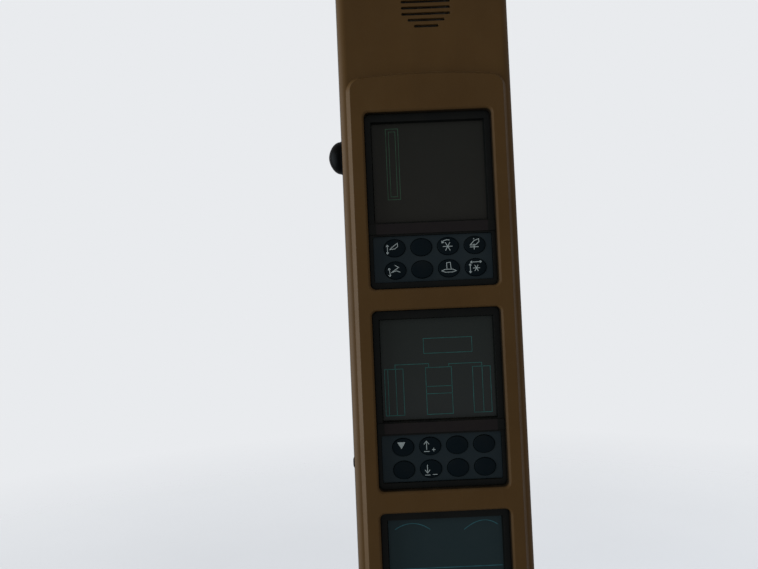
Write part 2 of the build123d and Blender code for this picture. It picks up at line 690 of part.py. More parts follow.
def corner_finisher():
    """The strip on the post's nose that fills the corner between the two panes."""
    root = FINISHER_ROOT_WIDTH / 2
    wide = FINISHER_WIDTH / 2
    tip = NOSE_Y + FINISHER_THICKNESS
    outline = make_face(Polyline((-root, NOSE_Y), (root, NOSE_Y), (wide, tip), (-wide, tip), close=True))
    outline = fillet(outline.vertices().sort_by(Axis.Y)[-2:], FINISHER_ROUND)
    return column(outline, SECTION_BOTTOM_Z + STRIP_END_GAP, SECTION_TOP_Z - STRIP_END_GAP)


def behind_grille(shape):
    """Turn an upright shape to face the operator, seated behind the grille."""
    return Pos(GRILLE_ASIDE, SPEAKER_Y, GRILLE_Z) * Rot(-90, 0, 0) * shape


def speaker_frame():
    """The speaker's basket, from its rim to its magnet."""
    waist = SPEAKER_DEPTH - SPEAKER_MAGNET_HEIGHT
    mouth = SPEAKER_CONE_RADIUS - SPEAKER_WALL
    neck = SPEAKER_MAGNET_RADIUS - SPEAKER_WALL
    rim = turned([(SPEAKER_RADIUS, 0), (SPEAKER_RADIUS, SPEAKER_RIM_THICKNESS)])
    basket = turned(
        [
            (SPEAKER_CONE_RADIUS, SPEAKER_RIM_THICKNESS),
            (SPEAKER_MAGNET_RADIUS, waist),
            (SPEAKER_MAGNET_RADIUS, SPEAKER_DEPTH),
        ]
    )
    hollow = turned([(mouth, 0), (mouth, SPEAKER_RIM_THICKNESS), (neck, waist)])
    return behind_grille(rim + basket - hollow)


def speaker_cone():
    """The paper cone, glued in the basket's mouth, with its raised dust cap."""
    mouth = SPEAKER_CONE_RADIUS - SPEAKER_WALL
    deep = SPEAKER_CONE_DEPTH
    cap = SPEAKER_DUST_CAP_RADIUS
    outside = turned([(mouth, 0), (mouth, SPEAKER_CONE_THICKNESS), (cap, deep + SPEAKER_CONE_THICKNESS)])
    dust_cap = turned([(cap / 2, deep - SPEAKER_DUST_CAP_RISE), (cap, deep + SPEAKER_CONE_THICKNESS / 2)])
    return behind_grille(outside - turned([(mouth, 0), (cap, deep)]) + dust_cap)


def side_cap():
    """The domed cap on the cover's left side wall."""
    return on_side_wall(turned(CAP_RINGS), -1, COVER_BACK_Y - CAP_FROM_BACK, MONITOR_Z[0] + CAP_RISE)


def monitor_pieces():
    """The pieces that every monitor has, about its own middle."""
    return {
        "bezel": bezel(),
        "lens": lens(),
        "lcd": lcd(),
        "keypad_plate": keypad_plate(),
        "keymat": keymat(),
        "housing": housing(),
        "socket": socket(),
        "bracket": bracket(),
    }


def main():
    """Build every piece and write one file for each."""
    pieces = {
        "post_section": post_section(),
        "foot_plate": foot_plate(),
        "head_plate": end_plate(SECTION_TOP_Z),
        "cover_upper": cover_upper(),
        "cover_lower": cover_lower(),
        "cover_straps": [strap(z) for z in STRAP_HEIGHTS],
        "seal_left": seal(-1),
        "seal_right": seal(1),
        "glazing_bead_left": glazing_bead(-1),
        "glazing_bead_right": glazing_bead(1),
        "corner_finisher": corner_finisher(),
        "speaker_frame": speaker_frame(),
        "speaker_cone": speaker_cone(),
        "side_cap": side_cap(),
    }
    monitor = monitor_pieces()
    for name, z in zip(MONITOR_NAMES, MONITOR_Z):
        for kind, shape in monitor.items():
            pieces[f"{name}_{kind}"] = at_height(shape, z)
    os.makedirs("parts", exist_ok=True)
    for name, shape in pieces.items():
        solids = shape if isinstance(shape, list) else shape.solids()
        solids = [s for item in solids for s in item.solids()]
        body = solids[0] if len(solids) == 1 else Compound(children=solids)
        export_step(body, f"parts/{name}.step")


main()
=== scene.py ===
"""Looks of a harvester's cab corner post: moulded cover, three monitor displays and a steel post.

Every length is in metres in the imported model's frame: +Z up the post, -Y towards the operator and
+X to the operator's right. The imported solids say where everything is. This file gives them their
finishes and adds what is too fine for them: the screens' lines, the marks on the keys, the domed
keys, the weld beads, the clips and the screws.
"""
import logging
import math
from collections.abc import Callable, Sequence
from dataclasses import dataclass, field
from enum import Enum
from functools import cache, partial
from itertools import product

import bmesh
import bpy
import numpy as np
from mathutils import Matrix, Vector


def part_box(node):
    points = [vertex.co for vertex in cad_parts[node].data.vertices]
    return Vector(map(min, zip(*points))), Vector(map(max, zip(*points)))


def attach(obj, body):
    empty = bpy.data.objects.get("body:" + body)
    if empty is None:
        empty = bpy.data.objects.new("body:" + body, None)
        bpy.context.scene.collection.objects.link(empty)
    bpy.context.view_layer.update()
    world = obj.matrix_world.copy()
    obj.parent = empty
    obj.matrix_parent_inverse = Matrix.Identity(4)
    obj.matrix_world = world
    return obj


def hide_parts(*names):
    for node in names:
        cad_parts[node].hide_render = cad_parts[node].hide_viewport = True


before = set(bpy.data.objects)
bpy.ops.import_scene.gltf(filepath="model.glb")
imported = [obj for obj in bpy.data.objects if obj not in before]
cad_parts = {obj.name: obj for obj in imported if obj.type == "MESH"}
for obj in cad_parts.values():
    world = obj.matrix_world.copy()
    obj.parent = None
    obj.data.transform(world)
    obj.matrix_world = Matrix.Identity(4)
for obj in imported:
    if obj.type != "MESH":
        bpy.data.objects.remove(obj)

LOG = logging.getLogger("corner_post")
MM = 0.001
SMOOTH_ANGLE = math.radians(32.0)
COVER_DRAFT = math.radians(2.0)
WELD_DISTANCE = 1e-6
LEAST_MITRE = 0.4
LEAST_RUN = 0.001

Socket = bpy.types.NodeSocket
Piece = bpy.types.Object
Material = bpy.types.Material
Colour = tuple[int, int, int]
Point = tuple[float, float]
Bed = Callable[[np.ndarray], np.ndarray]

# Surfaces, worked out as whole arrays


@dataclass
class Surface:
    """Points of a mesh and the four-sided and three-sided faces that join them."""

    points: np.ndarray
    quads: np.ndarray
    triangles: np.ndarray

    @classmethod
    def tube(cls, rings: np.ndarray, closed: bool = False) -> "Surface":
        """Join a stack of rings: point j of ring i joins point j of ring i + 1.

        Every ring wraps round in itself. A closed tube joins its last ring to its first. An open
        one ends in a pole at the mean of each end ring, so that no hole is left.

        Args:
            rings: array of rings, points round each ring, and x, y, z.
            closed: whether the last ring joins the first.

        Returns:
            The joined surface.
        """
        count, around = rings.shape[:2]
        steps = count if closed else count - 1
        row, column = np.meshgrid(np.arange(steps), np.arange(around), indexing="ij")
        after, right = (row + 1) % count * around, (column + 1) % around
        corners = [row * around + column, row * around + right, after + right, after + column]
        quads = np.stack(corners, -1).reshape(-1, 4)
        points = rings.reshape(-1, 3)
        if closed:
            return cls(points, quads, np.empty((0, 3), int))
        here = np.arange(around)
        there = (here + 1) % around
        last = (count - 1) * around
        first_fan = np.stack([np.full(around, count * around), there, here], -1)
        last_fan = np.stack([np.full(around, count * around + 1), last + here, last + there], -1)
        points = np.vstack([points, rings[[0, -1]].mean(1)])
        return cls(points, quads, np.vstack([first_fan, last_fan]))

    @classmethod
    def joined(cls, surfaces: Sequence["Surface"]) -> "Surface":
        """One surface that holds all the given ones, each face pointing at its own points.

        Args:
            surfaces: the surfaces to hold.

        Returns:
            The one surface.
        """
        starts = np.cumsum([0] + [len(s.points) for s in surfaces[:-1]])
        return cls(
            np.vstack([s.points for s in surfaces]),
            np.vstack([s.quads + start for s, start in zip(surfaces, starts)]),
            np.vstack([s.triangles + start for s, start in zip(surfaces, starts)]),
        )

    def moved(self, place: Matrix) -> "Surface":
        """The surface turned and moved by a matrix."""
        turn = np.array(place.to_3x3())
        return Surface(self.points @ turn.T + np.array(place.translation), self.quads, self.triangles)

    def mesh(self, name: str) -> bpy.types.Mesh:
        """A new mesh of the surface's points and faces.

        Args:
            name: the mesh's name.

        Returns:
            The mesh.
        """
        made = bpy.data.meshes.new(name)
        made.from_pydata(self.points.tolist(), [], self.quads.tolist() + self.triangles.tolist())
        return made


def in_scene(name: str, data: bpy.types.ID) -> Piece:
    """Put a mesh, a lamp or a camera into the scene as an object.

    Args:
        name: the object's name.
        data: what it shows.

    Returns:
        The object.
    """
    made = bpy.data.objects.new(name, data)
    bpy.context.scene.collection.objects.link(made)
    return made


def make_piece(name: str, surface: Surface, finish: Material, weld: bool = False) -> Piece:
    """Put a surface into a mesh of its own, at the origin, riding on the post.

    Args:
        name: the piece's name.
        surface: its points and faces, in the row frame.
        finish: its material.
        weld: whether points that lie on each other are merged.

    Returns:
        The new piece.
    """
    mesh = surface.mesh(name)
    work = bmesh.new()
    work.from_mesh(mesh)
    if weld:
        bmesh.ops.remove_doubles(work, verts=work.verts, dist=WELD_DISTANCE)
    bmesh.ops.recalc_face_normals(work, faces=work.faces)
    work.to_mesh(mesh)
    work.free()
    mesh.shade_smooth()
    mesh.set_sharp_from_angle(angle=SMOOTH_ANGLE)
    mesh.materials.append(finish)
    made = in_scene(name, mesh)
    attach(made, "root")
    LOG.info("%s: %d faces", name, len(mesh.polygons))
    return made


def dress(finish: Material, *nodes: str) -> None:
    """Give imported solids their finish.

    Args:
        finish: the finish.
        *nodes: the solids' names.
    """
    for node in nodes:
        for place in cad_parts[node].material_slots:
            place.material = finish
        LOG.info("%s wears %s", node, finish.name)


def span(node: str) -> tuple[np.ndarray, np.ndarray]:
    """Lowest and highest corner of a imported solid."""
    low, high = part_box(node)
    return np.array(low), np.array(high)


def rounded(width: float, height: float, radius: float, steps: int = 5) -> np.ndarray:
    """Outline of a rectangle with round corners: four quarter circles, one after the other.

    Args:
        width: the rectangle's width.
        height: its height.
        radius: the corners' radius.
        steps: runs in each quarter circle.

    Returns:
        The outline's points, as x, z.
    """
    turn = np.radians(90.0 * np.arange(4)[:, None] + np.linspace(0.0, 90.0, steps + 1))
    middle = np.radians(45.0 + 90.0 * np.arange(4))[:, None]
    x = np.sign(np.cos(middle)) * (width / 2 - radius) + radius * np.cos(turn)
    z = np.sign(np.sin(middle)) * (height / 2 - radius) + radius * np.sin(turn)
    return np.stack([x.ravel(), z.ravel()], -1)


def oval(width: float, height: float, steps: int = 40) -> np.ndarray:
    """Outline of an ellipse, by equal steps of its angle."""
    turn = np.linspace(0.0, 2 * np.pi, steps, endpoint=False)
    return np.stack([width / 2 * np.cos(turn), height / 2 * np.sin(turn)], -1)


def stacked(outlines: Sequence[np.ndarray], depths: Sequence[float], closed: bool = False) -> Surface:
    """Stack flat outlines of the front view one behind the other, each at its own depth."""
    rings = [np.stack([o[:, 0], np.full(len(o), depth), o[:, 1]], -1) for o, depth in zip(outlines, depths)]
    return Surface.tube(np.array(rings), closed)


def plate(width: float, height: float, radius: float, front: float, back: float, bevel: float) -> Surface:
    """A flat plate seen from the front, with its front edge bevelled at 45 degrees.

    Args:
        width: the plate's width.
        height: its height.
        radius: the radius of its corners.
        front: its front face's y.
        back: its back face's y.
        bevel: the bevel's width.

    Returns:
        The plate, about x = 0 and z = 0.
    """
    inner = rounded(width - 2 * bevel, height - 2 * bevel, max(radius - bevel, bevel / 4))
    outer = rounded(width, height, radius)
    return stacked([inner, outer, outer], [front, front + bevel, back])


def turned(profile: Sequence[Point], steps: int = 40) -> Surface:
    """Turn a profile about the upright axis: each point sweeps a circle.

    Args:
        profile: the profile's points, as radius, height.
        steps: runs round each circle.

    Returns:
        The turned surface.
    """
    radius, height = np.array(profile).T
    turn = np.linspace(0.0, 2 * np.pi, steps, endpoint=False)
    x = radius[:, None] * np.cos(turn)
    y = radius[:, None] * np.sin(turn)
    z = np.broadcast_to(height[:, None], x.shape)
    return Surface.tube(np.stack([x, y, z], -1))


def edges_of(path: np.ndarray, width: float, closed: bool) -> tuple[np.ndarray, np.ndarray]:
    """Left and right edge of a flat line of even width along a path.

    At each corner the edge lies along the mean of the two runs' normals, further out by one over
    the cosine of half the corner's turn, so that the line keeps its width.

    Args:
        path: the line's middle, as x, z.
        width: its width.
        closed: whether the line ends where it starts.

    Returns:
        The two edges.
    """
    if closed:
        before = path - np.roll(path, 1, axis=0)
        after = np.roll(path, -1, axis=0) - path
    else:
        runs = np.diff(path, axis=0)
        before = np.vstack([runs[:1], runs])
        after = np.vstack([runs, runs[-1:]])
    sides = [np.stack([-run[:, 1], run[:, 0]], -1) for run in (before, after)]
    normals = [side / np.linalg.norm(side, axis=1, keepdims=True) for side in sides]
    mitre = normals[0] + normals[1]
    mitre /= np.linalg.norm(mitre, axis=1, keepdims=True)
    reach = width / 2 / np.maximum((mitre * normals[0]).sum(1, keepdims=True), LEAST_MITRE)
    return path + mitre * reach, path - mitre * reach


def flat_line(path: np.ndarray, width: float, height: float, bed: Bed, closed: bool = False) -> Surface:
    """A thin raised line that lies on a bed seen from the front.

    Args:
        path: the line's middle, as x, z.
        width: its width.
        height: how far it stands out of its bed, towards the operator.
        bed: gives the bed's depth y at points x, z.
        closed: whether the line ends where it starts.

    Returns:
        The line as a closed surface with a rectangular section.
    """
    left, right = edges_of(path, width, closed)
    sides = [left, right, right, left]
    lifts = [-height, -height, height, height]
    ring = [np.stack([s[:, 0], bed(s) + lift, s[:, 1]], -1) for s, lift in zip(sides, lifts)]
    return Surface.tube(np.stack(ring, 1), closed)


def divided(path: np.ndarray, step: float, closed: bool = False) -> np.ndarray:
    """Points along a path at about even steps, by its length so far.

    A step that falls on one of the path's own points counts once, so no run has a length of zero.

    Args:
        path: the path's points.
        step: the length aimed at between two points.
        closed: whether the path ends where it starts.

    Returns:
        The points. A closed path's first one isn't repeated at its end.
    """
    if closed:
        path = np.vstack([path, path[:1]])
    length = np.concatenate([[0.0], np.cumsum(np.linalg.norm(np.diff(path, axis=0), axis=1))])
    count = max(2, int(round(length[-1] / step)) + 1)
    places = np.union1d(np.linspace(0.0, length[-1], count), length)
    places = places[np.diff(places, prepend=-step) > step * LEAST_RUN]
    points = np.stack([np.interp(places, length, path[:, axis]) for axis in range(path.shape[1])], -1)
    return points[:-1] if closed else points


# Node graphs: a builder, and the effects that several finishes share


def linear(colour: Sequence[float]) -> tuple[float, float, float, float]:
    """A colour as a screen shows it, turned into light by the usual curve.

    Args:
        colour: red, green and blue, 0 to 255.

    Returns:
        The light's red, green, blue and alpha, 0 to 1.
    """
    share = np.array(colour, float) / 255.0
    light = np.where(share <= 0.04045, share / 12.92, ((share + 0.055) / 1.055) ** 2.4)
    return (float(light[0]), float(light[1]), float(light[2]), 1.0)


class Graph:
    """A node tree that is being built, with short calls for the nodes used most."""

    def __init__(self, tree: bpy.types.NodeTree) -> None:
        """Start from an empty tree."""
        self.tree = tree
        tree.nodes.clear()

    def add(self, kind: str, inputs: dict | None = None, **settings: object) -> bpy.types.Node:
        """Add a node, set its options, and link or set its inputs.

        Args:
            kind: Blender's name of the node's type.
            inputs: by name or number, a socket to link from or a value to set.
            **settings: the node's options.

        Returns:
            The new node.
        """
        made = self.tree.nodes.new(kind)
        for option, value in settings.items():
            setattr(made, option, value)
        for place, value in (inputs or {}).items():
            if isinstance(value, Socket):
                self.tree.links.new(value, made.inputs[place])
            else:
                made.inputs[place].default_value = value
        return made

    def math(self, kind: str, first: object, second: object = 0.0, clamp: bool = False) -> Socket:
        """One sum on one or two values."""
        return self.add("ShaderNodeMath", {0: first, 1: second}, operation=kind, use_clamp=clamp).outputs[0]

    def between(
        self, value: Socket, low: float, high: float, least: float = 0.0, most: float = 1.0
    ) -> Socket:
        """Map a value's range from low to high onto least to most, and no further."""
        inputs = {"Value": value, "From Min": low, "From Max": high, "To Min": least, "To Max": most}
        return self.add("ShaderNodeMapRange", inputs, clamp=True).outputs["Result"]

    def blend(self, share: object, first: object, second: object) -> Socket:
        """Mix two colours by a share of the second."""
        return self.add("ShaderNodeMix", {0: share, 6: first, 7: second}, data_type="RGBA").outputs[2]

    def place(self, stretch: Sequence[float] = (), turn: Sequence[float] = (0.0, 0.0, 0.0)) -> Socket:
        """The object's own coordinates.

        Args:
            stretch: their scale along each axis, or nothing to leave them as they are.
            turn: their turn about each axis.

        Returns:
            The coordinates.
        """
        own = self.add("ShaderNodeTexCoord").outputs["Object"]
        if not stretch:
            return own
        return self.add("ShaderNodeMapping", {"Vector": own, "Rotation": turn, "Scale": stretch}).outputs[0]

    def axes(self) -> Sequence[Socket]:
        """The object's own x, y and z."""
        return self.add("ShaderNodeSeparateXYZ", {0: self.place()}).outputs

    def noise(
        self, scale: object, detail: float = 2.0, roughness: float = 0.5, at: Socket | None = None
    ) -> Socket:
        """Cloudy noise, so many features a metre."""
        inputs = {"Vector": at or self.place(), "Scale": scale, "Detail": detail, "Roughness": roughness}
        return self.add("ShaderNodeTexNoise", inputs).outputs[0]

    def effect(self, tree: bpy.types.NodeTree, **inputs: object) -> Socket:
        """Place a shared effect with its own values.

        Args:
            tree: the effect's node group.
            **inputs: its inputs' values or sockets.

        Returns:
            The effect's output.
        """
        named = {name.capitalize(): value for name, value in inputs.items()}
        return self.add("ShaderNodeGroup", named, node_tree=tree).outputs[0]

    def surface(self, inputs: dict) -> None:
        """Put one principled shader out as the surface, with these inputs."""
        shader = self.add("ShaderNodeBsdfPrincipled", inputs)
        self.add("ShaderNodeOutputMaterial", {"Surface": shader.outputs[0]})


def new_material(name: str) -> tuple[Material, Graph]:
    """Start a material with an empty graph.

    Args:
        name: the material's name.

    Returns:
        The material and its graph.
    """
    made = bpy.data.materials.new(name)
    made.use_nodes = True
    return made, Graph(made.node_tree)


def new_effect(
    name: str, inputs: dict[str, float], output: str
) -> tuple[Graph, dict[str, Socket], Callable[[Socket], bpy.types.NodeTree]]:
    """Start a shared effect: a node group with named inputs and one output.

    Args:
        name: the group's name.
        inputs: each input's name and usual value. One called Rounded is a direction.
        output: the output's name.

    Returns:
        The group's graph, its inputs as sockets, and a call that links its output and gives the
        finished group.
    """
    tree = bpy.data.node_groups.new(name, "ShaderNodeTree")
    for label, value in inputs.items():
        kind = "NodeSocketVector" if label == "Rounded" else "NodeSocketFloat"
        socket = tree.interface.new_socket(name=label, in_out="INPUT", socket_type=kind)
        if kind == "NodeSocketFloat":
            socket.default_value = value
    tree.interface.new_socket(name=output, in_out="OUTPUT", socket_type="NodeSocketFloat")
    graph = Graph(tree)
    given = graph.add("NodeGroupInput").outputs
    out = graph.add("NodeGroupOutput")

    def finished(value: Socket) -> bpy.types.NodeTree:
        """Link the group's output, and give the group."""
        tree.links.new(value, out.inputs[0])
        return tree

    return graph, {label: given[label] for label in inputs}, finished


@cache
def moulded_grain() -> bpy.types.NodeTree:
    """The pebbled grain of moulded plastic: rounded cells broken up by finer noise.

    Returns:
        The effect's node group.
    """
    graph, given, finished = new_effect("moulded_grain", {"Scale": 900.0}, "Height")
    inputs = {"Vector": graph.place(), "Scale": given["Scale"]}
    cells = graph.add("ShaderNodeTexVoronoi", inputs, feature="SMOOTH_F1").outputs[0]
    fine = graph.noise(graph.math("MULTIPLY", given["Scale"], 2.3), 2.0)
    return finished(graph.math("ADD", graph.math("MULTIPLY", cells, 0.7), graph.math("MULTIPLY", fine, 0.5)))


@cache
def slow_drift() -> bpy.types.NodeTree:
    """Slow, uneven drift over a surface, from age and handling.

    Returns:
        The effect's node group.
    """
    graph, given, finished = new_effect("slow_drift", {"Scale": 9.0}, "Value")
    broad = graph.noise(given["Scale"], 4.0, 0.62)
    finer = graph.math("MULTIPLY", given["Scale"], 3.0)
    streaks = graph.noise(finer, 3.0, 0.6, graph.place((1.0, 1.0, 0.22)))
    return finished(graph.between(graph.math("ADD", broad, graph.math("MULTIPLY", streaks, 0.6)), 0.5, 1.1))


@cache
def settled_dust() -> bpy.types.NodeTree:
    """Field dust that settles on what faces up, in patches and specks.

    Returns:
        The effect's node group.
    """
    graph, given, finished = new_effect("settled_dust", {"Amount": 0.3}, "Mask")
    normal = graph.add("ShaderNodeNewGeometry").outputs["Normal"]
    upward = graph.add("ShaderNodeSeparateXYZ", {0: normal}).outputs[2]
    lying = graph.between(upward, -0.1, 0.9, 0.22, 1.0)
    patches = graph.between(graph.noise(38.0, 5.0, 0.66), 0.42, 0.68)
    specks = graph.between(graph.noise(1400.0, 2.0, 0.5), 0.62, 0.72)
    both = graph.math("MAXIMUM", patches, graph.math("MULTIPLY", specks, 0.8))
    return finished(graph.math("MULTIPLY", graph.math("MULTIPLY", both, lying), given["Amount"], clamp=True))


@cache
def worn_edges() -> bpy.types.NodeTree:
    """Wear where an edge turns: the rounded normal leaves the true one, broken by noise.

    Returns:
        The effect's node group.
    """
    graph, given, finished = new_effect("worn_edges", {"Rounded": 0.0, "Amount": 0.5}, "Mask")
    normal = graph.add("ShaderNodeNewGeometry").outputs["Normal"]
    both = {0: given["Rounded"], 1: normal}
    along = graph.add("ShaderNodeVectorMath", both, operation="DOT_PRODUCT").outputs["Value"]
    edge = graph.between(along, 0.995, 0.90)
    broken = graph.between(graph.noise(160.0, 5.0, 0.7), 0.38, 0.62)
    return finished(graph.math("MULTIPLY", graph.math("MULTIPLY", edge, broken), given["Amount"], clamp=True))


@cache
def hair_scratches() -> bpy.types.NodeTree:
    """Fine scratches: noise drawn out long and thin in two directions, cut to its crests.

    Returns:
        The effect's node group.
    """
    graph, given, finished = new_effect("hair_scratches", {"Amount": 0.5}, "Mask")
    ways = [graph.place((26.0, 26.0, 1.0), (0.0, 0.35, 0.2)), graph.place((2.0, 30.0, 24.0), (0.3, 0.9, 0.0))]
    crests = [graph.between(graph.noise(60.0, 2.0, 0.55, way), 0.70, 0.74) for way in ways]
    return finished(graph.math("MULTIPLY", graph.math("MAXIMUM", *crests), given["Amount"], clamp=True))


@cache
def finger_marks() -> bpy.types.NodeTree:
    """Smears left by fingers: soft blots with faint ridges in them.

    Returns:
        The effect's node group.
    """
    graph, given, finished = new_effect("finger_marks", {"Amount": 0.5}, "Mask")
    blots = graph.between(graph.noise(55.0, 2.0, 0.4), 0.52, 0.66)
    ridges = graph.between(graph.noise(900.0, 1.0, 0.4, graph.place((1.0, 1.0, 0.3))), 0.3, 0.7, 0.5, 1.0)
    smears = graph.math("MULTIPLY", blots, ridges)
    return finished(graph.math("MULTIPLY", smears, given["Amount"], clamp=True))


# Finishes


@dataclass(frozen=True)
class Finish:
    """A solid finish: a colour that drifts, dust, wear along edges, scratches and a fine grain."""

    name: str
    colour: Colour
    drifted: Colour
    roughness: float = 0.6
    gloss_level: float = 0.35
    metallic: float = 0.0
    drift_scale: float = 9.0
    grain_scale: float = 900.0
    grain_height: float = 0.00006
    dust: float = 0.25
    dust_colour: Colour = (122, 108, 86)
    wear: float = 0.3
    worn_colour: Colour = (96, 74, 50)
    scratches: float = 0.0
    rounding: float = 0.0007
    roughness_swing: float = 0.07
    scratch_polish: float = 0.2
    dust_dulling: float = 0.3

    def material(self) -> Material:
        """Build the finish: its clean colour, then wear, scratches and dust over it.

        Returns:
            The material.
        """
        made, graph = new_material(self.name)
        rounded_normal = graph.add("ShaderNodeBevel", {"Radius": self.rounding}, samples=4).outputs[0]
        wear = graph.effect(worn_edges(), rounded=rounded_normal, amount=self.wear)
        dust = graph.effect(settled_dust(), amount=self.dust)
        drift = graph.effect(slow_drift(), scale=self.drift_scale)
        base = graph.blend(wear, self.base_colour(graph, drift), linear(self.worn_colour))
        least, most = self.roughness - self.roughness_swing, self.roughness + self.roughness_swing
        roughness = graph.between(drift, 0.0, 1.0, least, most)
        if self.scratches > 0:
            marks = graph.effect(hair_scratches(), amount=self.scratches)
            base = graph.blend(marks, base, linear(self.worn_colour))
            polish = graph.math("MULTIPLY", marks, self.scratch_polish)
            roughness = graph.math("SUBTRACT", roughness, polish)
        base = graph.blend(dust, base, linear(self.dust_colour))
        dulling = graph.math("MULTIPLY", dust, self.dust_dulling)
        roughness = graph.math("ADD", roughness, dulling, clamp=True)
        relief = {"Height": self.relief(graph), "Normal": rounded_normal, "Distance": self.grain_height}
        bump = graph.add("ShaderNodeBump", {**relief, "Strength": 1.0})
        graph.surface({
            "Base Color": base,
            "Roughness": roughness,
            "Metallic": self.metallic,
            "Specular IOR Level": self.gloss_level,
            "Normal": bump.outputs[0],
        })
        return made

    def base_colour(self, graph: Graph, drift: Socket) -> Socket:
        """The clean colour, drifting between two tones."""
        return graph.blend(drift, linear(self.colour), linear(self.drifted))

    def relief(self, graph: Graph) -> Socket:
        """The height of the fine relief."""
        return graph.effect(moulded_grain(), scale=self.grain_scale)


@dataclass(frozen=True)
class RecessShadedMoulding(Finish):
    """A moulding with recesses in its front, whose walls are painted darker with depth: painted shade, for
    the little light that reaches into the recesses.
    """

    # Colour of the painted shade at the recess floor.
    shade: Colour = (20, 15, 9)
    rim_y: float = -0.1112
    floor_y: float = -0.1080
    reach_x: float = 0.0712
    foot_z: float = 0.0
    head_z: float = 1.0

    def base_colour(self, graph: Graph, drift: Socket) -> Socket:
        """The clean colour, with painted shade that darkens it by depth within the recesses' width and
        height.

        Args:
            graph: the material's graph.
            drift: the slow drift, 0 to 1.

        Returns:
            The colour.
        """
        clean = super().base_colour(graph, drift)
        x, y, z = graph.axes()
        # Painted shade: the recess walls darken from the rim's depth to the floor's.
        depth = graph.between(y, self.rim_y, self.floor_y)
        within_x = graph.math("LESS_THAN", graph.math("ABSOLUTE", x), self.reach_x)
        above = graph.math("GREATER_THAN", z, self.foot_z)
        below = graph.math("LESS_THAN", z, self.head_z)
        within = graph.math("MULTIPLY", within_x, graph.math("MULTIPLY", above, below))
        return graph.blend(graph.math("MULTIPLY", depth, within), clean, linear(self.shade))


@dataclass(frozen=True)
class BandedMoulding(Finish):
    """A dark moulding with one lighter bar across it, where the window ends and the pad starts."""

    bar: Colour = (19, 16, 16)
    bar_foot: float = 0.0
    bar_head: float = 0.0
    bar_reach: float = 0.061
    bar_blur: float = 0.0006

    def base_colour(self, graph: Graph, drift: Socket) -> Socket:
        """The clean colour, and the bar's between its two heights.

        Args:
            graph: the material's graph.
            drift: the slow drift, 0 to 1.

        Returns:
            The colour.
        """
        clean = super().base_colour(graph, drift)
        x, _, z = graph.axes()
        above = graph.between(z, self.bar_foot, self.bar_foot + self.bar_blur)
        below = graph.between(z, self.bar_head, self.bar_head - self.bar_blur)
        within = graph.between(graph.math("ABSOLUTE", x), self.bar_reach, self.bar_reach - self.bar_blur)
        band = graph.math("MULTIPLY", within, graph.math("MULTIPLY", above, below))
        return graph.blend(band, clean, linear(self.bar))


@dataclass(frozen=True)
class ZincSheet(Finish):
    """Zinc-plated sheet: a pale metal with spangle, and the lines that rolling left."""

    def base_colour(self, graph: Graph, drift: Socket) -> Socket:
        """Spangle: each crystal has its own tone between the two.

        Args:
            graph: the material's graph.
            drift: the slow drift, 0 to 1.

        Returns:
            The colour.
        """
        crystals = graph.add("ShaderNodeTexVoronoi", {"Vector": graph.place(), "Scale": 150.0})
        tone = graph.add("ShaderNodeSeparateColor", {0: crystals.outputs["Color"]}).outputs[0]
        share = graph.math("ADD", graph.math("MULTIPLY", tone, 0.5), graph.math("MULTIPLY", drift, 0.5))
        return super().base_colour(graph, share)

    def relief(self, graph: Graph) -> Socket:
        """Rolling lines along the sheet's length."""
        return graph.noise(500.0, 3.0, 0.6, graph.place((0.06, 1.0, 1.0)))


@dataclass(frozen=True)
class BrushedPaint(Finish):
    """Paint sprayed on steel: orange peel over the faint marks of the rolled surface."""

    def relief(self, graph: Graph) -> Socket:
        """Orange peel, with faint rolling lines up the post.

        Args:
            graph: the material's graph.

        Returns:
            The relief's height.
        """
        peel = graph.noise(420.0, 2.0, 0.45)
        lines = graph.noise(300.0, 2.0, 0.5, graph.place((1.0, 1.0, 0.04)))
        return graph.math("ADD", graph.math("MULTIPLY", peel, 0.7), graph.math("MULTIPLY", lines, 0.4))


@dataclass(frozen=True)
class Display(Finish):
    """A display's face: dark grey, lighter towards its foot, in a fine lattice of dots."""

    centre_z: float = 1.34
    half_height: float = 0.055
    pitch: float = 0.00042
    gap_tone: float = 0.86
    gap_share: float = 0.35

    def base_colour(self, graph: Graph, drift: Socket) -> Socket:
        """Dots in a square lattice, over a tone that grows lighter down the face.

        Args:
            graph: the material's graph.
            drift: the slow drift, 0 to 1.

        Returns:
            The colour.
        """
        x, _, z = graph.axes()
        waves = [graph.math("SINE", graph.math("MULTIPLY", axis, math.pi / self.pitch)) for axis in (x, z)]
        gaps = graph.math("ABSOLUTE", graph.math("MULTIPLY", *waves))
        fall = graph.between(z, self.centre_z + self.half_height, self.centre_z - self.half_height)
        share = graph.math("ADD", graph.math("MULTIPLY", fall, 0.75), graph.math("MULTIPLY", drift, 0.25))
        tone = super().base_colour(graph, share)
        darker = tuple(c * self.gap_tone for c in self.colour)
        return graph.blend(graph.between(gaps, 0.15, 0.0, 0.0, self.gap_share), tone, linear(darker))


@dataclass(frozen=True)
class DisplayLine:
    """A line on a screen: a faint coloured trace whose tone varies a little along it."""

    name: str
    colour: Colour
    roughness: float = 0.6
    gloss_level: float = 0.04
    dimmest: float = 0.72

    def material(self) -> Material:
        """Build the finish: two tones of the colour, by cloudy noise.

        Returns:
            The material.
        """
        made, graph = new_material(self.name)
        waver = graph.between(graph.noise(70.0, 3.0, 0.6), 0.3, 0.7)
        dim = tuple(c * self.dimmest for c in self.colour)
        graph.surface({
            "Base Color": graph.blend(waver, linear(dim), linear(self.colour)),
            "Roughness": self.roughness,
            "Specular IOR Level": self.gloss_level,
        })
        return made


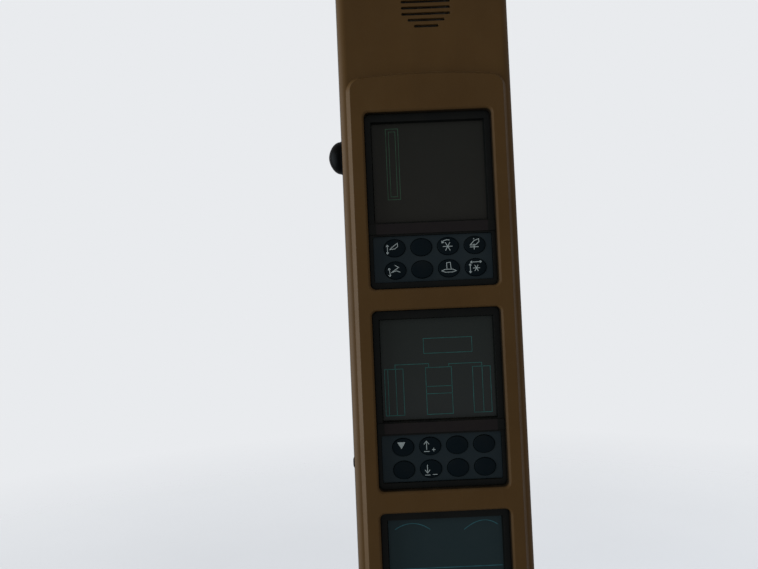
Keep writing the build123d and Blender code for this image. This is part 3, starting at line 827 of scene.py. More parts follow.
@dataclass(frozen=True)
class SmokedWindow:
    """The smoked, anti-glare window of an idle screen, with finger marks and dust on it.

    It is closed to light: a film that let a share through would speckle over so dark a display.
    """

    name: str
    head: Colour
    foot: Colour
    centre_z: float
    half_height: float
    roughness: float = 0.36
    gloss_level: float = 0.04
    dust_colour: Colour = (64, 62, 58)
    mark_veil: float = 0.02
    dust_veil: float = 0.04
    mark_dulling: float = 0.22
    grain_scale: float = 2600.0
    grain_height: float = 0.000004

    def material(self) -> Material:
        """Build the finish: the two tones by height, then marks and dust.

        Returns:
            The material.
        """
        made, graph = new_material(self.name)
        marks = graph.effect(finger_marks(), amount=0.6)
        dust = graph.effect(settled_dust(), amount=0.5)
        low, high = self.centre_z - self.half_height, self.centre_z + self.half_height
        rise = graph.between(graph.axes()[2], low, high)
        toned = graph.blend(rise, linear(self.foot), linear(self.head))
        smeared = graph.math("MULTIPLY", marks, self.mark_veil)
        veil = graph.math("ADD", smeared, graph.math("MULTIPLY", dust, self.dust_veil))
        dulling = graph.math("MULTIPLY", marks, self.mark_dulling)
        height = graph.effect(moulded_grain(), scale=self.grain_scale)
        bump = graph.add("ShaderNodeBump", {"Height": height, "Distance": self.grain_height, "Strength": 1.0})
        graph.surface({
            "Base Color": graph.blend(veil, toned, linear(self.dust_colour)),
            "Roughness": graph.math("ADD", dulling, self.roughness),
            "Specular IOR Level": self.gloss_level,
            "Normal": bump.outputs[0],
        })
        return made


class Look(Enum):
    """The finishes of the post's pieces."""

    POST = BrushedPaint(
        "black_post_paint", (30, 30, 32), (24, 25, 27), 0.42, 0.4, grain_height=0.00008, wear=0.6,
        worn_colour=(88, 86, 84), scratches=0.3, dust=0.35,
    )
    ZINC = ZincSheet(
        "zinc_plated_sheet", (150, 152, 154), (118, 121, 126), 0.38, 0.5, 0.85, grain_height=0.00002,
        wear=0.3, worn_colour=(178, 180, 182), dust=0.3,
    )
    RUBBER = Finish(
        "black_rubber", (20, 20, 21), (27, 27, 27), 0.72, 0.3, grain_scale=1500.0, grain_height=0.00003,
        wear=0.2, worn_colour=(58, 56, 54), dust=0.45,
    )
    PAD = Finish(
        "pad_face", (22, 29, 32), (19, 26, 29), 0.5, 0.04, grain_scale=1800.0, grain_height=0.00002,
        wear=0.15, worn_colour=(44, 50, 52), dust=0.03, rounding=0.0003,
    )
    KEY = Finish(
        "key_rubber", (3, 9, 13), (4, 11, 15), 0.45, 0.03, grain_scale=2200.0, grain_height=0.00001,
        wear=0.15, worn_colour=(26, 32, 36), dust=0.02, rounding=0.0003,
    )
    MARK = Finish(
        "white_key_print", (128, 136, 134), (104, 112, 111), 0.6, 0.3, grain_scale=3000.0,
        grain_height=0.00001, wear=0.0, dust=0.10, rounding=0.00005,
    )
    HOUSING = Finish(
        "housing_moulding", (26, 26, 28), (32, 32, 34), 0.55, 0.35, grain_scale=1100.0, wear=0.3,
        worn_colour=(60, 60, 62), dust=0.4,
    )
    CAP = Finish(
        "black_cap_plastic", (2, 2, 3), (3, 4, 4), 0.34, 0.010, grain_scale=1600.0, grain_height=0.00002,
        wear=0.2, worn_colour=(26, 28, 31), scratches=0.06, dust=0.02,
    )
    SPEAKER = BrushedPaint("speaker_basket_paint", (34, 34, 36), (28, 28, 30), 0.45, 0.4, dust=0.4)
    PAPER = Finish(
        "speaker_paper", (34, 33, 32), (42, 40, 38), 0.85, 0.15, grain_scale=700.0, grain_height=0.0001,
        wear=0.0, dust=0.5,
    )

    @cache
    def made(self) -> Material:
        """The finish's material, built once."""
        return self.value.material()


# Sub-assemblies


@dataclass
class SteelPost:
    """The closed steel section with its end plates, and the weld beads that join them."""

    half_width: float = 0.062
    side_depth: float = 0.022
    nose_half_width: float = 0.020
    corner: float = 0.006
    corner_points: int = 7
    bead: float = 0.0052
    ripple: float = 0.0034
    ripple_swell: float = 0.10
    wander: float = 0.04
    wander_rate: float = 37.0
    gusset_x: float = 0.025
    gusset_thickness: float = 0.005
    gusset_step: float = 0.0008
    base_bead: tuple[float, float] = (0.021, 0.002)
    stem_bead: tuple[float, float] = (0.003, 0.92)
    plate_thickness: float = 0.010

    def outline(self, front: float, nose: float) -> np.ndarray:
        """The section's outline in plan, each corner rounded by a parabola that touches both runs.

        Args:
            front: y of the section's front.
            nose: y of its nose.

        Returns:
            The outline's points, as x, y.
        """
        w, n, shoulder = self.half_width, self.nose_half_width, front + self.side_depth
        corners = np.array([(-w, front), (w, front), (w, shoulder), (n, nose), (-n, nose), (-w, shoulder)])
        back = np.roll(corners, 1, axis=0) - corners
        ahead = np.roll(corners, -1, axis=0) - corners
        back *= self.corner / np.linalg.norm(back, axis=1, keepdims=True)
        ahead *= self.corner / np.linalg.norm(ahead, axis=1, keepdims=True)
        t = np.linspace(0.0, 1.0, self.corner_points)[None, :, None]
        start, middle, end = (c[:, None, :] for c in (corners + back, corners, corners + ahead))
        return ((1 - t) ** 2 * start + 2 * t * (1 - t) * middle + t**2 * end).reshape(-1, 2)

    def bead_along(self, path: np.ndarray, out: np.ndarray, up: np.ndarray, closed: bool) -> Surface:
        """A weld bead carried along a path: a quarter-round whose size swells with each ripple.

        Args:
            path: the inner corner that the bead fills.
            out: unit direction away from the upright wall, at each point of the path.
            up: unit direction away from the plate, at each point of the path.
            closed: whether the path ends where it starts.

        Returns:
            The bead.
        """
        run = np.linalg.norm(np.diff(path, axis=0), axis=1)
        along = np.concatenate([[0.0], np.cumsum(run)])
        ripples = self.ripple_swell * np.abs(np.sin(np.pi * along / self.ripple))
        swell = 1.0 + ripples + self.wander * np.sin(self.wander_rate * along)
        turn = np.radians([180.0, 225.0, 270.0, 330.0, 0.0, 25.0, 45.0, 65.0, 90.0, 120.0])
        reach = np.array([0.35, 0.40, 0.35, 0.5, 0.95, 0.86, 0.80, 0.86, 0.95, 0.5])
        spread = self.bead * swell[:, None] * reach * np.cos(turn)
        rise = self.bead * swell[:, None] * reach * np.sin(turn)
        rings = path[:, None] + spread[..., None] * out[:, None] + rise[..., None] * up[:, None]
        return Surface.tube(rings, closed)

    def round_section(self, z: float, lift: float) -> Surface:
        """The bead round the section, at one of its ends.

        Args:
            z: the height that it lies at.
            lift: 1 where it lies up from its plate, -1 where down.

        Returns:
            The bead.
        """
        low, high = span("post_section")
        ring = divided(self.outline(low[1], high[1]), self.ripple / 4, True)
        ahead = np.roll(ring, -1, axis=0) - np.roll(ring, 1, axis=0)
        ahead /= np.linalg.norm(ahead, axis=1, keepdims=True)
        out = np.stack([ahead[:, 1], -ahead[:, 0], np.zeros(len(ring))], -1)
        path = np.column_stack([ring, np.full(len(ring), z)])
        up = np.broadcast_to([0.0, 0.0, lift], path.shape)
        return self.bead_along(path, out, up, True)

    def gusset_beads(self) -> list[Surface]:
        """Two beads on each side of each gusset: one on the foot plate, one up the section.

        Returns:
            The beads.
        """
        front, top = span("post_section")[0][1], self.plate_thickness
        rise = span("foot_plate")[1][2] - top
        beads = []
        for x, side in product((-self.gusset_x, self.gusset_x), (-1.0, 1.0)):
            wall = x + side * self.gusset_thickness / 2
            base = [(wall, front - inset, top) for inset in self.base_bead]
            stem = [(wall, front, top + self.stem_bead[0]), (wall, front, rise * self.stem_bead[1])]
            for ends, up in ((base, (0.0, 0.0, 1.0)), (stem, (0.0, -1.0, 0.0))):
                path = divided(np.array(ends), self.gusset_step)
                out = np.broadcast_to([side, 0.0, 0.0], path.shape)
                beads.append(self.bead_along(path, out, np.broadcast_to(up, path.shape), False))
        return beads

    def build(self) -> None:
        """Dress the steel and add its weld beads."""
        dress(Look.POST.made(), "post_section", "foot_plate", "head_plate")
        low, high = span("post_section")
        rounds = [self.round_section(low[2], 1.0), self.round_section(high[2], -1.0)]
        beads = Surface.joined(rounds + self.gusset_beads())
        make_piece("weld_beads", beads, Look.POST.made())


@dataclass
class Cover:
    """The moulded cover in its two lengths, with the clips that pin it to its straps."""

    clip_radius: float = 0.0065
    clip_heights: tuple[float, ...] = (0.152, 0.646, 0.736, 1.0181, 1.566)
    clip_y: float = -0.061
    recess_margin: float = 0.0025
    dome_radius: float = 0.0184
    dome_point: float = 1.15
    dome_foot: float = 0.0018
    dome_rise: float = 0.0140

    def finish(self) -> RecessShadedMoulding:
        """The cover's brown moulding, with painted shade in its recesses, whose reach is found from the
        bezels.

        Returns:
            The finish.
        """
        foot, head = span("lower_bezel")[0][2], span("upper_bezel")[1][2]
        return RecessShadedMoulding(
            "brown_moulding", (60, 42, 19), (54, 37, 16), 0.5, 0.05, dust=0.03, wear=0.26,
            worn_colour=(92, 76, 56), scratches=0.10, rounding=0.0011,
            foot_z=float(foot) - self.recess_margin, head_z=float(head) + self.recess_margin,
        )

    def wall_x(self, y: float) -> float:
        """Half the cover's width at depth y: the side walls splay by the moulding draft."""
        high = span("cover_upper")[1]
        return high[0] + (y - high[1]) * math.tan(COVER_DRAFT)

    def on_wall(self, side: float, y: float, z: float) -> Matrix:
        """Place that stands an upright shape on the outside of a side wall.

        Args:
            side: 1 for the right wall, -1 for the left.
            y: the place's depth.
            z: its height.

        Returns:
            The place.
        """
        out = Vector((side * math.cos(COVER_DRAFT), -math.sin(COVER_DRAFT), 0.0))
        along = Vector((0.0, 0.0, 1.0)).cross(out)
        turn = Matrix((along, Vector((0.0, 0.0, 1.0)), out)).transposed().to_4x4()
        return Matrix.Translation((side * self.wall_x(y), y, z)) @ turn

    def clip(self) -> Surface:
        """A push-in clip: a domed flange with a dished middle, its profile turned once round.

        Returns:
            The clip, standing upright.
        """
        r = self.clip_radius
        edge = [(r - 0.0004, -0.0006), (r, 0.0003), (r - 0.0003, 0.0009), (r - 0.0016, 0.0017)]
        crown = [(0.0034, 0.0021), (0.0026, 0.0021), (0.0022, 0.0016), (0.0008, 0.0014)]
        return turned(edge + crown, 32)

    def cap(self) -> Surface:
        """The domed cap on the left wall: a foot ring, then half of a flattened round.

        The dome's radius goes with the cosine of the turn to a power a little over one, and its
        height with the sine, so that it is a little more pointed than a half ball.

        Returns:
            The cap, standing upright.
        """
        foot = [(0.0180, -0.0004), (0.0190, 0.0002), (0.0190, 0.0012), (0.0186, 0.0017)]
        turn = np.radians(np.linspace(3.0, 87.0, 22))
        radius = self.dome_radius * np.cos(turn) ** self.dome_point
        height = self.dome_foot + self.dome_rise * np.sin(turn)
        return turned([*foot, *zip(radius, height)], 56)

    def build(self) -> None:
        """Dress the cover, its straps and seals, and add the clips and the side cap."""
        dress(self.finish().material(), "cover_upper", "cover_lower")
        dress(Look.ZINC.made(), "cover_straps")
        dress(Look.RUBBER.made(), "seal_left", "seal_right")
        places = [self.on_wall(side, self.clip_y, z) for side in (-1.0, 1.0) for z in self.clip_heights]
        clips = Surface.joined([self.clip().moved(place) for place in places])
        make_piece("cover_clips", clips, Look.CAP.made())
        low, high = span("side_cap")
        place = self.on_wall(-1.0, (low[1] + high[1]) / 2, (low[2] + high[2]) / 2)
        cap = make_piece("cap_left", self.cap().moved(place), Look.CAP.made())
        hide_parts("side_cap")


@dataclass
class PaneStrips:
    """The rubber strips that the panes' edges are bonded to, and the strip on the nose."""

    nodes: tuple[str, ...] = ("glazing_bead_left", "glazing_bead_right", "corner_finisher")

    def build(self) -> None:
        """Dress the strips."""
        dress(Look.RUBBER.made(), *self.nodes)


@dataclass
class Speaker:
    """The alarm speaker behind the louvre: a basket and a paper cone with a rolled edge."""

    mouth: float = 0.0274
    roll: float = 0.0042
    roll_crest: float = 0.0012
    rim: float = 0.0006
    neck: float = 0.0090
    depth: float = 0.0100
    slope_power: float = 0.85
    dust_cap: float = 0.0030
    paper: float = 0.0008

    def cone(self) -> Surface:
        """The cone's front, then its back: a half-round roll, a slope and a dust cap.

        Returns:
            The cone, standing upright.
        """
        turn = np.linspace(0.0, np.pi, 9)
        t = np.linspace(0.0, 1.0, 10)[1:]
        cap = np.linspace(0.0, 1.0, 8)[1:-1] * np.pi / 2
        inner = self.mouth - self.roll
        radius = np.concatenate([
            self.mouth - self.roll / 2 + self.roll / 2 * np.cos(turn),
            inner - (inner - self.neck) * t,
            self.neck * np.cos(cap),
        ])
        height = np.concatenate([
            self.rim - self.roll_crest * np.sin(turn),
            self.rim + (self.depth - self.rim) * t**self.slope_power,
            self.depth - self.dust_cap * np.sin(cap),
        ])
        front = np.column_stack([radius, height])[::-1]
        back = np.column_stack([radius, height + self.paper])
        return turned(np.vstack([front, back]), 48)

    def build(self) -> None:
        """Dress the basket and put the smooth cone in it."""
        dress(Look.SPEAKER.made(), "speaker_frame")
        low, high = span("speaker_cone")
        middle = (low + high) / 2
        facing = Matrix.Rotation(math.radians(-90.0), 4, "X")
        place = Matrix.Translation((middle[0], low[1], middle[2])) @ facing
        cone = make_piece("paper_cone", self.cone().moved(place), Look.PAPER.made())
        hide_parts("speaker_cone")


# Drawings of the screens and marks of the keys

Stroke = tuple[bool, tuple[Point, ...]]


def open_line(*points: Point) -> Stroke:
    """A line through points, in millimetres."""
    return False, points


def loop(*points: Point) -> Stroke:
    """A line through points that ends where it starts, in millimetres."""
    return True, points


def box(left: float, bottom: float, right: float, top: float) -> Stroke:
    """A rectangle's four sides, in millimetres."""
    return loop((left, bottom), (right, bottom), (right, top), (left, top))


def arc(left: Point, crown: Point, right: Point) -> Stroke:
    """A shallow bow through three points, by the parabola that passes through them.

    Args:
        left: the bow's left end.
        crown: the point halfway along it.
        right: its right end.

    Returns:
        The bow.
    """
    t = np.linspace(0.0, 1.0, 13)[:, None]
    ends = np.array(left), np.array(right)
    pull = 2 * np.array(crown) - (ends[0] + ends[1]) / 2
    bow = (1 - t) ** 2 * ends[0] + 2 * t * (1 - t) * pull + t**2 * ends[1]
    return False, tuple(map(tuple, bow.tolist()))


def star(x: float, z: float, reach: float) -> list[Stroke]:
    """Six arms through one point: a line at each of three angles."""
    arms = [(reach * math.cos(turn), reach * math.sin(turn)) for turn in np.radians([0.0, 60.0, 120.0])]
    return [open_line((x - along, z - up), (x + along, z + up)) for along, up in arms]


def barb(x: float, z: float, size: float, heading: float, half_angle: float = 38.0) -> Stroke:
    """An arrow's two barbs, open behind.

    Args:
        x: the tip's x.
        z: the tip's z.
        size: the length of each barb.
        heading: where the tip points, in degrees from +X.
        half_angle: the angle between the arrow and each barb, in degrees.

    Returns:
        The barbs as one line.
    """
    turns = [math.radians(heading + 180.0 + side * half_angle) for side in (-1.0, 1.0)]
    ends = [(x + size * math.cos(a), z + size * math.sin(a)) for a in turns]
    return open_line(ends[0], (x, z), ends[1])


class Screen(Enum):
    """What each screen shows: lines in millimetres from the monitor's middle."""

    UPPER = (
        box(-46.0, 2.0, -32.4, 80.0),
        box(-42.8, 5.2, -35.6, 76.8),
    )
    MIDDLE = (
        box(-14.6, 47.8, 38.1, 64.0),
        box(-13.5, -18.2, 14.6, 32.3),
        open_line((-13.5, 11.9), (14.6, 11.9)),
        open_line((-13.5, 4.0), (14.6, 4.0)),
        box(-58.2, -18.0, -38.0, 32.0),
        open_line((-54.6, -18.0), (-54.6, 32.0)),
        open_line((-46.1, -18.0), (-46.1, 32.0)),
        open_line((-46.5, 32.0), (-46.5, 36.6), (-9.9, 36.6), (-9.9, 32.3)),
        box(37.6, -18.0, 56.9, 31.5),
        open_line((48.0, -18.0), (48.0, 31.5)),
        open_line((12.0, 32.3), (12.0, 35.6), (47.9, 35.6), (47.9, 31.5)),
    )
    LOWER = (
        arc((-54.0, 75.0), (-34.7, 80.7), (-15.9, 73.5)),
        arc((20.5, 71.9), (40.0, 81.0), (57.0, 76.0)),
        open_line((-59.0, 32.5), (60.4, 32.5)),
    )


class KeyMark(Enum):
    """The marks on the keys: lines in millimetres from the key's middle."""

    BLANK = ()
    RAISE_WEDGE = (
        open_line((-7.9, 2.6), (-7.9, -5.1)),
        barb(-7.9, 3.6, 2.2, 90.0),
        barb(-7.9, -6.0, 2.2, -90.0),
        loop((-5.4, -1.4), (-2.0, 1.6), (3.1, 5.2), (3.3, 1.5), (0.2, -0.8)),
    )
    STAR_TURN = (
        *star(-0.5, -0.4, 5.2),
        open_line((-6.4, 4.0), (-4.4, 6.0), (-1.4, 6.9), (1.8, 6.4)),
        barb(-6.6, 3.6, 2.4, -128.0),
    )
    STAR_TILT = (
        open_line((-5.4, -2.1), (3.9, -2.1)),
        open_line((-0.9, -4.9), (-0.9, 1.2)),
        loop((-5.1, 0.0), (-0.6, 4.8), (4.3, 6.6), (4.6, 3.4), (0.6, 0.0)),
        open_line((-1.5, 6.2), (-0.5, 7.2)),
    )
    RAISE_ZIGZAG = (
        open_line((-6.9, 1.6), (-5.9, -5.4)),
        barb(-7.0, 2.6, 2.2, 98.0),
        barb(-6.3, -6.2, 2.2, -82.0),
        open_line((-0.7, 5.8), (3.4, 3.2), (-4.8, -2.2), (0.8, -0.4), (5.0, -2.0)),
    )
    LOW_BLOCK = (
        loop((-8.1, -2.4), (-4.4, -1.0), (3.9, -1.0), (7.5, -2.8), (3.9, -4.1), (-4.4, -4.1)),
        open_line((-2.4, -1.0), (-2.6, 6.0), (1.4, 6.6), (2.2, -1.0)),
    )
    STAR_SHIFT = (
        *star(0.6, -0.8, 3.7),
        open_line((-4.6, 5.7), (5.2, 5.9)),
        barb(-5.6, 5.7, 2.0, 180.0),
        barb(6.2, 5.9, 2.0, 0.0),
        open_line((-6.1, 2.8), (-6.1, -4.8)),
        barb(-6.1, 3.8, 2.0, 90.0),
        barb(-6.1, -5.8, 2.0, -90.0),
    )
    TRIANGLE = (
        loop((-5.6, 5.2), (1.7, 5.2), (-1.9, -0.9)),
        loop((-4.2, 4.4), (0.3, 4.4), (-1.9, 0.7)),
        loop((-2.8, 3.7), (-1.0, 3.7), (-1.9, 2.3)),
    )
    UP_PLUS = (
        open_line((-4.0, 4.8), (-4.0, -3.4)),
        barb(-4.0, 5.8, 4.4, 90.0),
        open_line((-6.9, -5.4), (-1.1, -5.4)),
        open_line((1.7, -3.6), (5.5, -3.6)),
        open_line((3.6, -1.7), (3.6, -5.5)),
    )
    DOWN_MINUS = (
        open_line((-4.1, 4.8), (-4.1, -3.0)),
        barb(-4.1, -4.0, 4.4, -90.0),
        open_line((-6.9, -6.2), (-1.2, -6.2)),
        open_line((1.4, -5.9), (6.4, -5.9)),
    )


STAR_PAD = (
    (KeyMark.RAISE_WEDGE, KeyMark.BLANK, KeyMark.STAR_TURN, KeyMark.STAR_TILT),
    (KeyMark.RAISE_ZIGZAG, KeyMark.BLANK, KeyMark.LOW_BLOCK, KeyMark.STAR_SHIFT),
)
STEP_PAD = (
    (KeyMark.TRIANGLE, KeyMark.UP_PLUS, KeyMark.BLANK, KeyMark.BLANK),
    (KeyMark.BLANK, KeyMark.DOWN_MINUS, KeyMark.BLANK, KeyMark.BLANK),
)


@dataclass(frozen=True)
class Drawing:
    """What a monitor shows: its screen's lines, tones at head and foot, and its keys' marks."""

    screen: Screen
    head: Colour
    foot: Colour
    trace: Colour
    line_width: float
    pad: tuple[tuple[KeyMark, ...], ...]


DISPLAYS = {
    "upper": Drawing(Screen.UPPER, (25, 25, 22), (28, 27, 24), (45, 70, 54), 0.00055, STAR_PAD),
    "middle": Drawing(Screen.MIDDLE, (28, 31, 29), (32, 34, 33), (38, 78, 74), 0.00060, STEP_PAD),
    "lower": Drawing(Screen.LOWER, (24, 34, 36), (22, 32, 34), (43, 84, 90), 0.00065, STEP_PAD),
}


@dataclass
class Monitor:
    """One monitor: bezel, window with its lines, display, key pad with its marks, and its back."""

    name: str
    key_pitch: tuple[float, float] = (0.0291, 0.0243)
    key_size: tuple[float, float] = (0.0228, 0.0188)
    keys_aside: float = 0.0022
    key_gap: float = 0.0005
    key_proud: float = 0.0014
    key_crown: float = 0.0005
    key_round: float = 0.0006
    key_foot: float = 0.0004
    columns: int = 4
    rows: int = 2
    hole_lip: float = 0.0004
    lip_drop: float = 0.0003
    cell_steps: int = 10
    mat_corner: float = 0.0016
    mat_clearance: float = 0.00005
    mat_bevel: float = 0.0002
    mark_width: float = 0.00068
    mark_height: float = 0.00006
    mark_step: float = 0.0016
    window_inset: float = 0.0002
    window_corner: float = 0.0006
    window_depth: float = 0.0012
    window_bevel: float = 0.0004
    line_proud: float = 0.00002
    line_height: float = 0.00004
    bar_foot: float = -0.0368
    bar_head: float = -0.0248
    screw_depth: float = 0.0053
    screw_inset: tuple[float, float] = (0.0050, 0.0160)
    bolt_place: tuple[float, float] = (0.043, 0.051)
    bolt_apothem: float = 0.0046
    middle: np.ndarray = field(init=False)

    def __post_init__(self) -> None:
        """Find the monitor's middle from its bezel."""
        low, high = span(f"{self.name}_bezel")
        self.middle = (low + high) / 2

    def node(self, kind: str) -> str:
        """Name of one of the monitor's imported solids."""
        return f"{self.name}_{kind}"

    def corners(self, x: float, y: float, z: float) -> list[Matrix]:
        """Four places about the monitor's middle, mirrored left to right and up to down."""
        at = product((-1, 1), (-1, 1))
        return [Matrix.Translation((self.middle[0] + i * x, y, self.middle[2] + j * z)) for i, j in at]

    def window(self) -> None:
        """The smoked window: a thin plate in the rebate, its front edge bevelled."""
        drawing = DISPLAYS[self.name]
        low, high = span(self.node("lens"))
        size, centre = high - low, (low + high) / 2
        width, height = size[0] - self.window_inset, size[2] - self.window_inset
        back = low[1] + self.window_depth
        shape = plate(width, height, self.window_corner, low[1], back, self.window_bevel)
        name = f"smoked_window_{self.name}"
        finish = SmokedWindow(name, drawing.head, drawing.foot, float(centre[2]), float(size[2]) / 2)
        place = Matrix.Translation((centre[0], 0.0, centre[2]))
        made = make_piece(f"window_{self.name}", shape.moved(place), finish.material())
        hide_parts(self.node("lens"))

    def screen_lines(self) -> None:
        """The screen's lines, which stand just proud of the window's front."""
        drawing = DISPLAYS[self.name]
        front = span(self.node("lens"))[0][1] - self.line_proud

        def bed(at: np.ndarray) -> np.ndarray:
            """The same depth at every point."""
            return np.full(len(at), front)

        lines = []
        for closed, points in drawing.screen.value:
            path = np.array(points) * MM + self.middle[[0, 2]]
            lines.append(flat_line(path, drawing.line_width, self.line_height, bed, closed))
        finish = DisplayLine(f"display_line_{self.name}", drawing.trace)
        make_piece(f"display_lines_{self.name}", Surface.joined(lines), finish.material())

    def display(self) -> None:
        """The display's own face, behind the window."""
        drawing = DISPLAYS[self.name]
        low, high = span(self.node("lcd"))
        finish = Display(
            f"display_face_{self.name}", drawing.head, drawing.foot, 0.36, 0.04, grain_scale=3000.0,
            grain_height=0.000004, wear=0.0, dust=0.0, rounding=0.0002,
            centre_z=float(low[2] + high[2]) / 2, half_height=float(high[2] - low[2]) / 2,
        )
        dress(finish.material(), self.node("lcd"))

    def key_places(self) -> list[tuple[int, int, float, float]]:
        """Row, column, x and z of each key's middle, in the row frame, from the top left.

        Returns:
            The keys' places.
        """
        low, high = span(self.node("keymat"))
        centre = (low + high) / 2
        across, down = (self.columns - 1) / 2, (self.rows - 1) / 2
        xs = [centre[0] + self.keys_aside + (i - across) * self.key_pitch[0] for i in range(self.columns)]
        zs = [centre[2] + (down - j) * self.key_pitch[1] for j in range(self.rows)]
        return [(row, column, x, z) for row, z in enumerate(zs) for column, x in enumerate(xs)]

    def pad_cell(self, row: int, column: int, x: float, z: float) -> Surface:
        """One key's share of the pad: a grid from its oval hole out to its own cell's sides.

        A point goes round the cell's four sides by even steps, and the point of the hole that
        answers it lies at the same angle. Neighbouring cells share their sides, and the walls
        between them are left out, so that the cells join into one plate with eight holes.

        Args:
            row: the key's row, from the top.
            column: its column, from the left.
            x: its middle's x.
            z: its middle's z.

        Returns:
            The cell.
        """
        low, high = span(self.node("keypad_plate"))
        s = np.linspace(-1.0, 1.0, self.cell_steps, endpoint=False)
        ones = np.ones(self.cell_steps)
        sides = ((s, -ones), (ones, s), (-s, ones), (-ones, -s))
        square = np.concatenate([np.stack(side, -1) for side in sides])
        angle = np.arctan2(square[:, 1], square[:, 0])
        ellipse = np.stack([np.cos(angle), np.sin(angle)], -1)
        centre, half_pitch = np.array([x, z]), np.array(self.key_pitch) / 2
        near, far = centre - half_pitch, centre + half_pitch
        near[0] = low[0] if column == 0 else near[0]
        far[0] = high[0] if column == self.columns - 1 else far[0]
        far[1] = high[2] if row == 0 else far[1]
        near[1] = low[2] if row == self.rows - 1 else near[1]
        cell = (near + far) / 2 + square * (far - near) / 2
        half_hole = np.array(self.key_size) / 2 + self.key_gap
        hole, lip = centre + ellipse * half_hole, centre + ellipse * (half_hole + self.hole_lip)
        front, back = low[1], high[1]
        outlines = [cell, (lip + cell) / 2, lip, hole, hole, cell]
        grown = stacked(outlines, [front, front, front, front + self.lip_drop, back, back], True)
        on_side = np.isclose(cell[:, 0], low[0]) | np.isclose(cell[:, 0], high[0])
        on_end = np.isclose(cell[:, 1], low[2]) | np.isclose(cell[:, 1], high[2])
        kept = (on_side & np.roll(on_side, -1)) | (on_end & np.roll(on_end, -1))
        inner, walls = grown.quads[:-len(square)], grown.quads[-len(square):]
        return Surface(grown.points, np.vstack([inner, walls[kept]]), grown.triangles)

    def pad_face(self) -> None:
        """The pad's face, joined from the keys' cells."""
        cells = Surface.joined([self.pad_cell(*key) for key in self.key_places()])
        made = make_piece(f"pad_face_{self.name}", cells, Look.PAD.made(), weld=True)
        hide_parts(self.node("keypad_plate"))

    def key_top(self, at: np.ndarray, x: float, z: float, front: float) -> np.ndarray:
        """Depth of a key's crowned top: it falls away with the square of the distance out.

        Args:
            at: the points, as x, z.
            x: the key's middle's x.
            z: the key's middle's z.
            front: the pad's front's y.

        Returns:
            The depth at each point.
        """
        half = np.array(self.key_size) / 2
        out = (((at - (x, z)) / half) ** 2).sum(-1)
        return front - self.key_proud + self.key_crown * out

    def key(self, front: float, foot: float) -> Surface:
        """One key: an upright wall, a rounded edge and a crowned top.

        Args:
            front: the pad's front's y.
            foot: the wall's foot's y.

        Returns:
            The key, about x = 0 and z = 0.
        """
        edge = np.linspace(0.0, np.pi / 2, 6)
        share = np.linspace(1.0, 0.08, 9)[1:]
        half = np.array(self.key_size) / 2
        insets = np.concatenate([[0.0], self.key_round * (1 - np.cos(edge))])
        shoulder = front - self.key_proud + self.key_crown + self.key_round * (1 - np.sin(edge))
        outlines = [oval(2 * (half[0] - inset), 2 * (half[1] - inset)) for inset in insets]
        inner = half - self.key_round
        outlines += [oval(2 * inner[0] * k, 2 * inner[1] * k) for k in share]
        crown = front - self.key_proud + self.key_crown * share**2
        return stacked(outlines, np.concatenate([[foot], shoulder, crown]))

    def keys(self) -> None:
        """The mat behind the pad, with its eight keys."""
        low, high = span(self.node("keymat"))
        pad_low, pad_high = span(self.node("keypad_plate"))
        size, centre = high - low, (low + high) / 2
        start = pad_high[1] + self.mat_clearance
        mat = plate(size[0], size[2], self.mat_corner, start, high[1], self.mat_bevel)
        key = self.key(pad_low[1], pad_high[1] + self.key_foot)
        parts = [mat.moved(Matrix.Translation((centre[0], 0.0, centre[2])))]
        parts += [key.moved(Matrix.Translation((x, 0.0, z))) for _, _, x, z in self.key_places()]
        made = make_piece(f"key_mat_{self.name}", Surface.joined(parts), Look.KEY.made())
        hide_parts(self.node("keymat"))

    def marks(self) -> None:
        """The printed marks, which lie on the crowned tops of their keys."""
        front = span(self.node("keypad_plate"))[0][1]
        lines = []
        for row, column, x, z in self.key_places():
            bed = partial(self.key_top, x=x, z=z, front=front)
            for closed, points in DISPLAYS[self.name].pad[row][column].value:
                path = divided(np.array(points) * MM + (x, z), self.mark_step, closed)
                lines.append(flat_line(path, self.mark_width, self.mark_height, bed, closed))
        make_piece(f"key_marks_{self.name}", Surface.joined(lines), Look.MARK.made())

    def ear_screws(self) -> Surface:
        """Pan heads behind the bezel's four ears, each a turned dome.

        Returns:
            The four heads.
        """
        low, high = span(self.node("bezel"))
        rim = [(0.0030, -0.0004), (0.0036, 0.0002), (0.0036, 0.0010)]
        dome = [(0.0030, 0.0018), (0.0016, 0.0022), (0.0004, 0.0022)]
        head = turned(rim + dome, 20)
        x, z = (high[0] - low[0]) / 2 - self.screw_inset[0], (high[2] - low[2]) / 2 - self.screw_inset[1]
        turn = Matrix.Rotation(math.radians(-90.0), 4, "X")
        places = self.corners(x, low[1] + self.screw_depth, z)
        return Surface.joined([head.moved(place @ turn) for place in places])

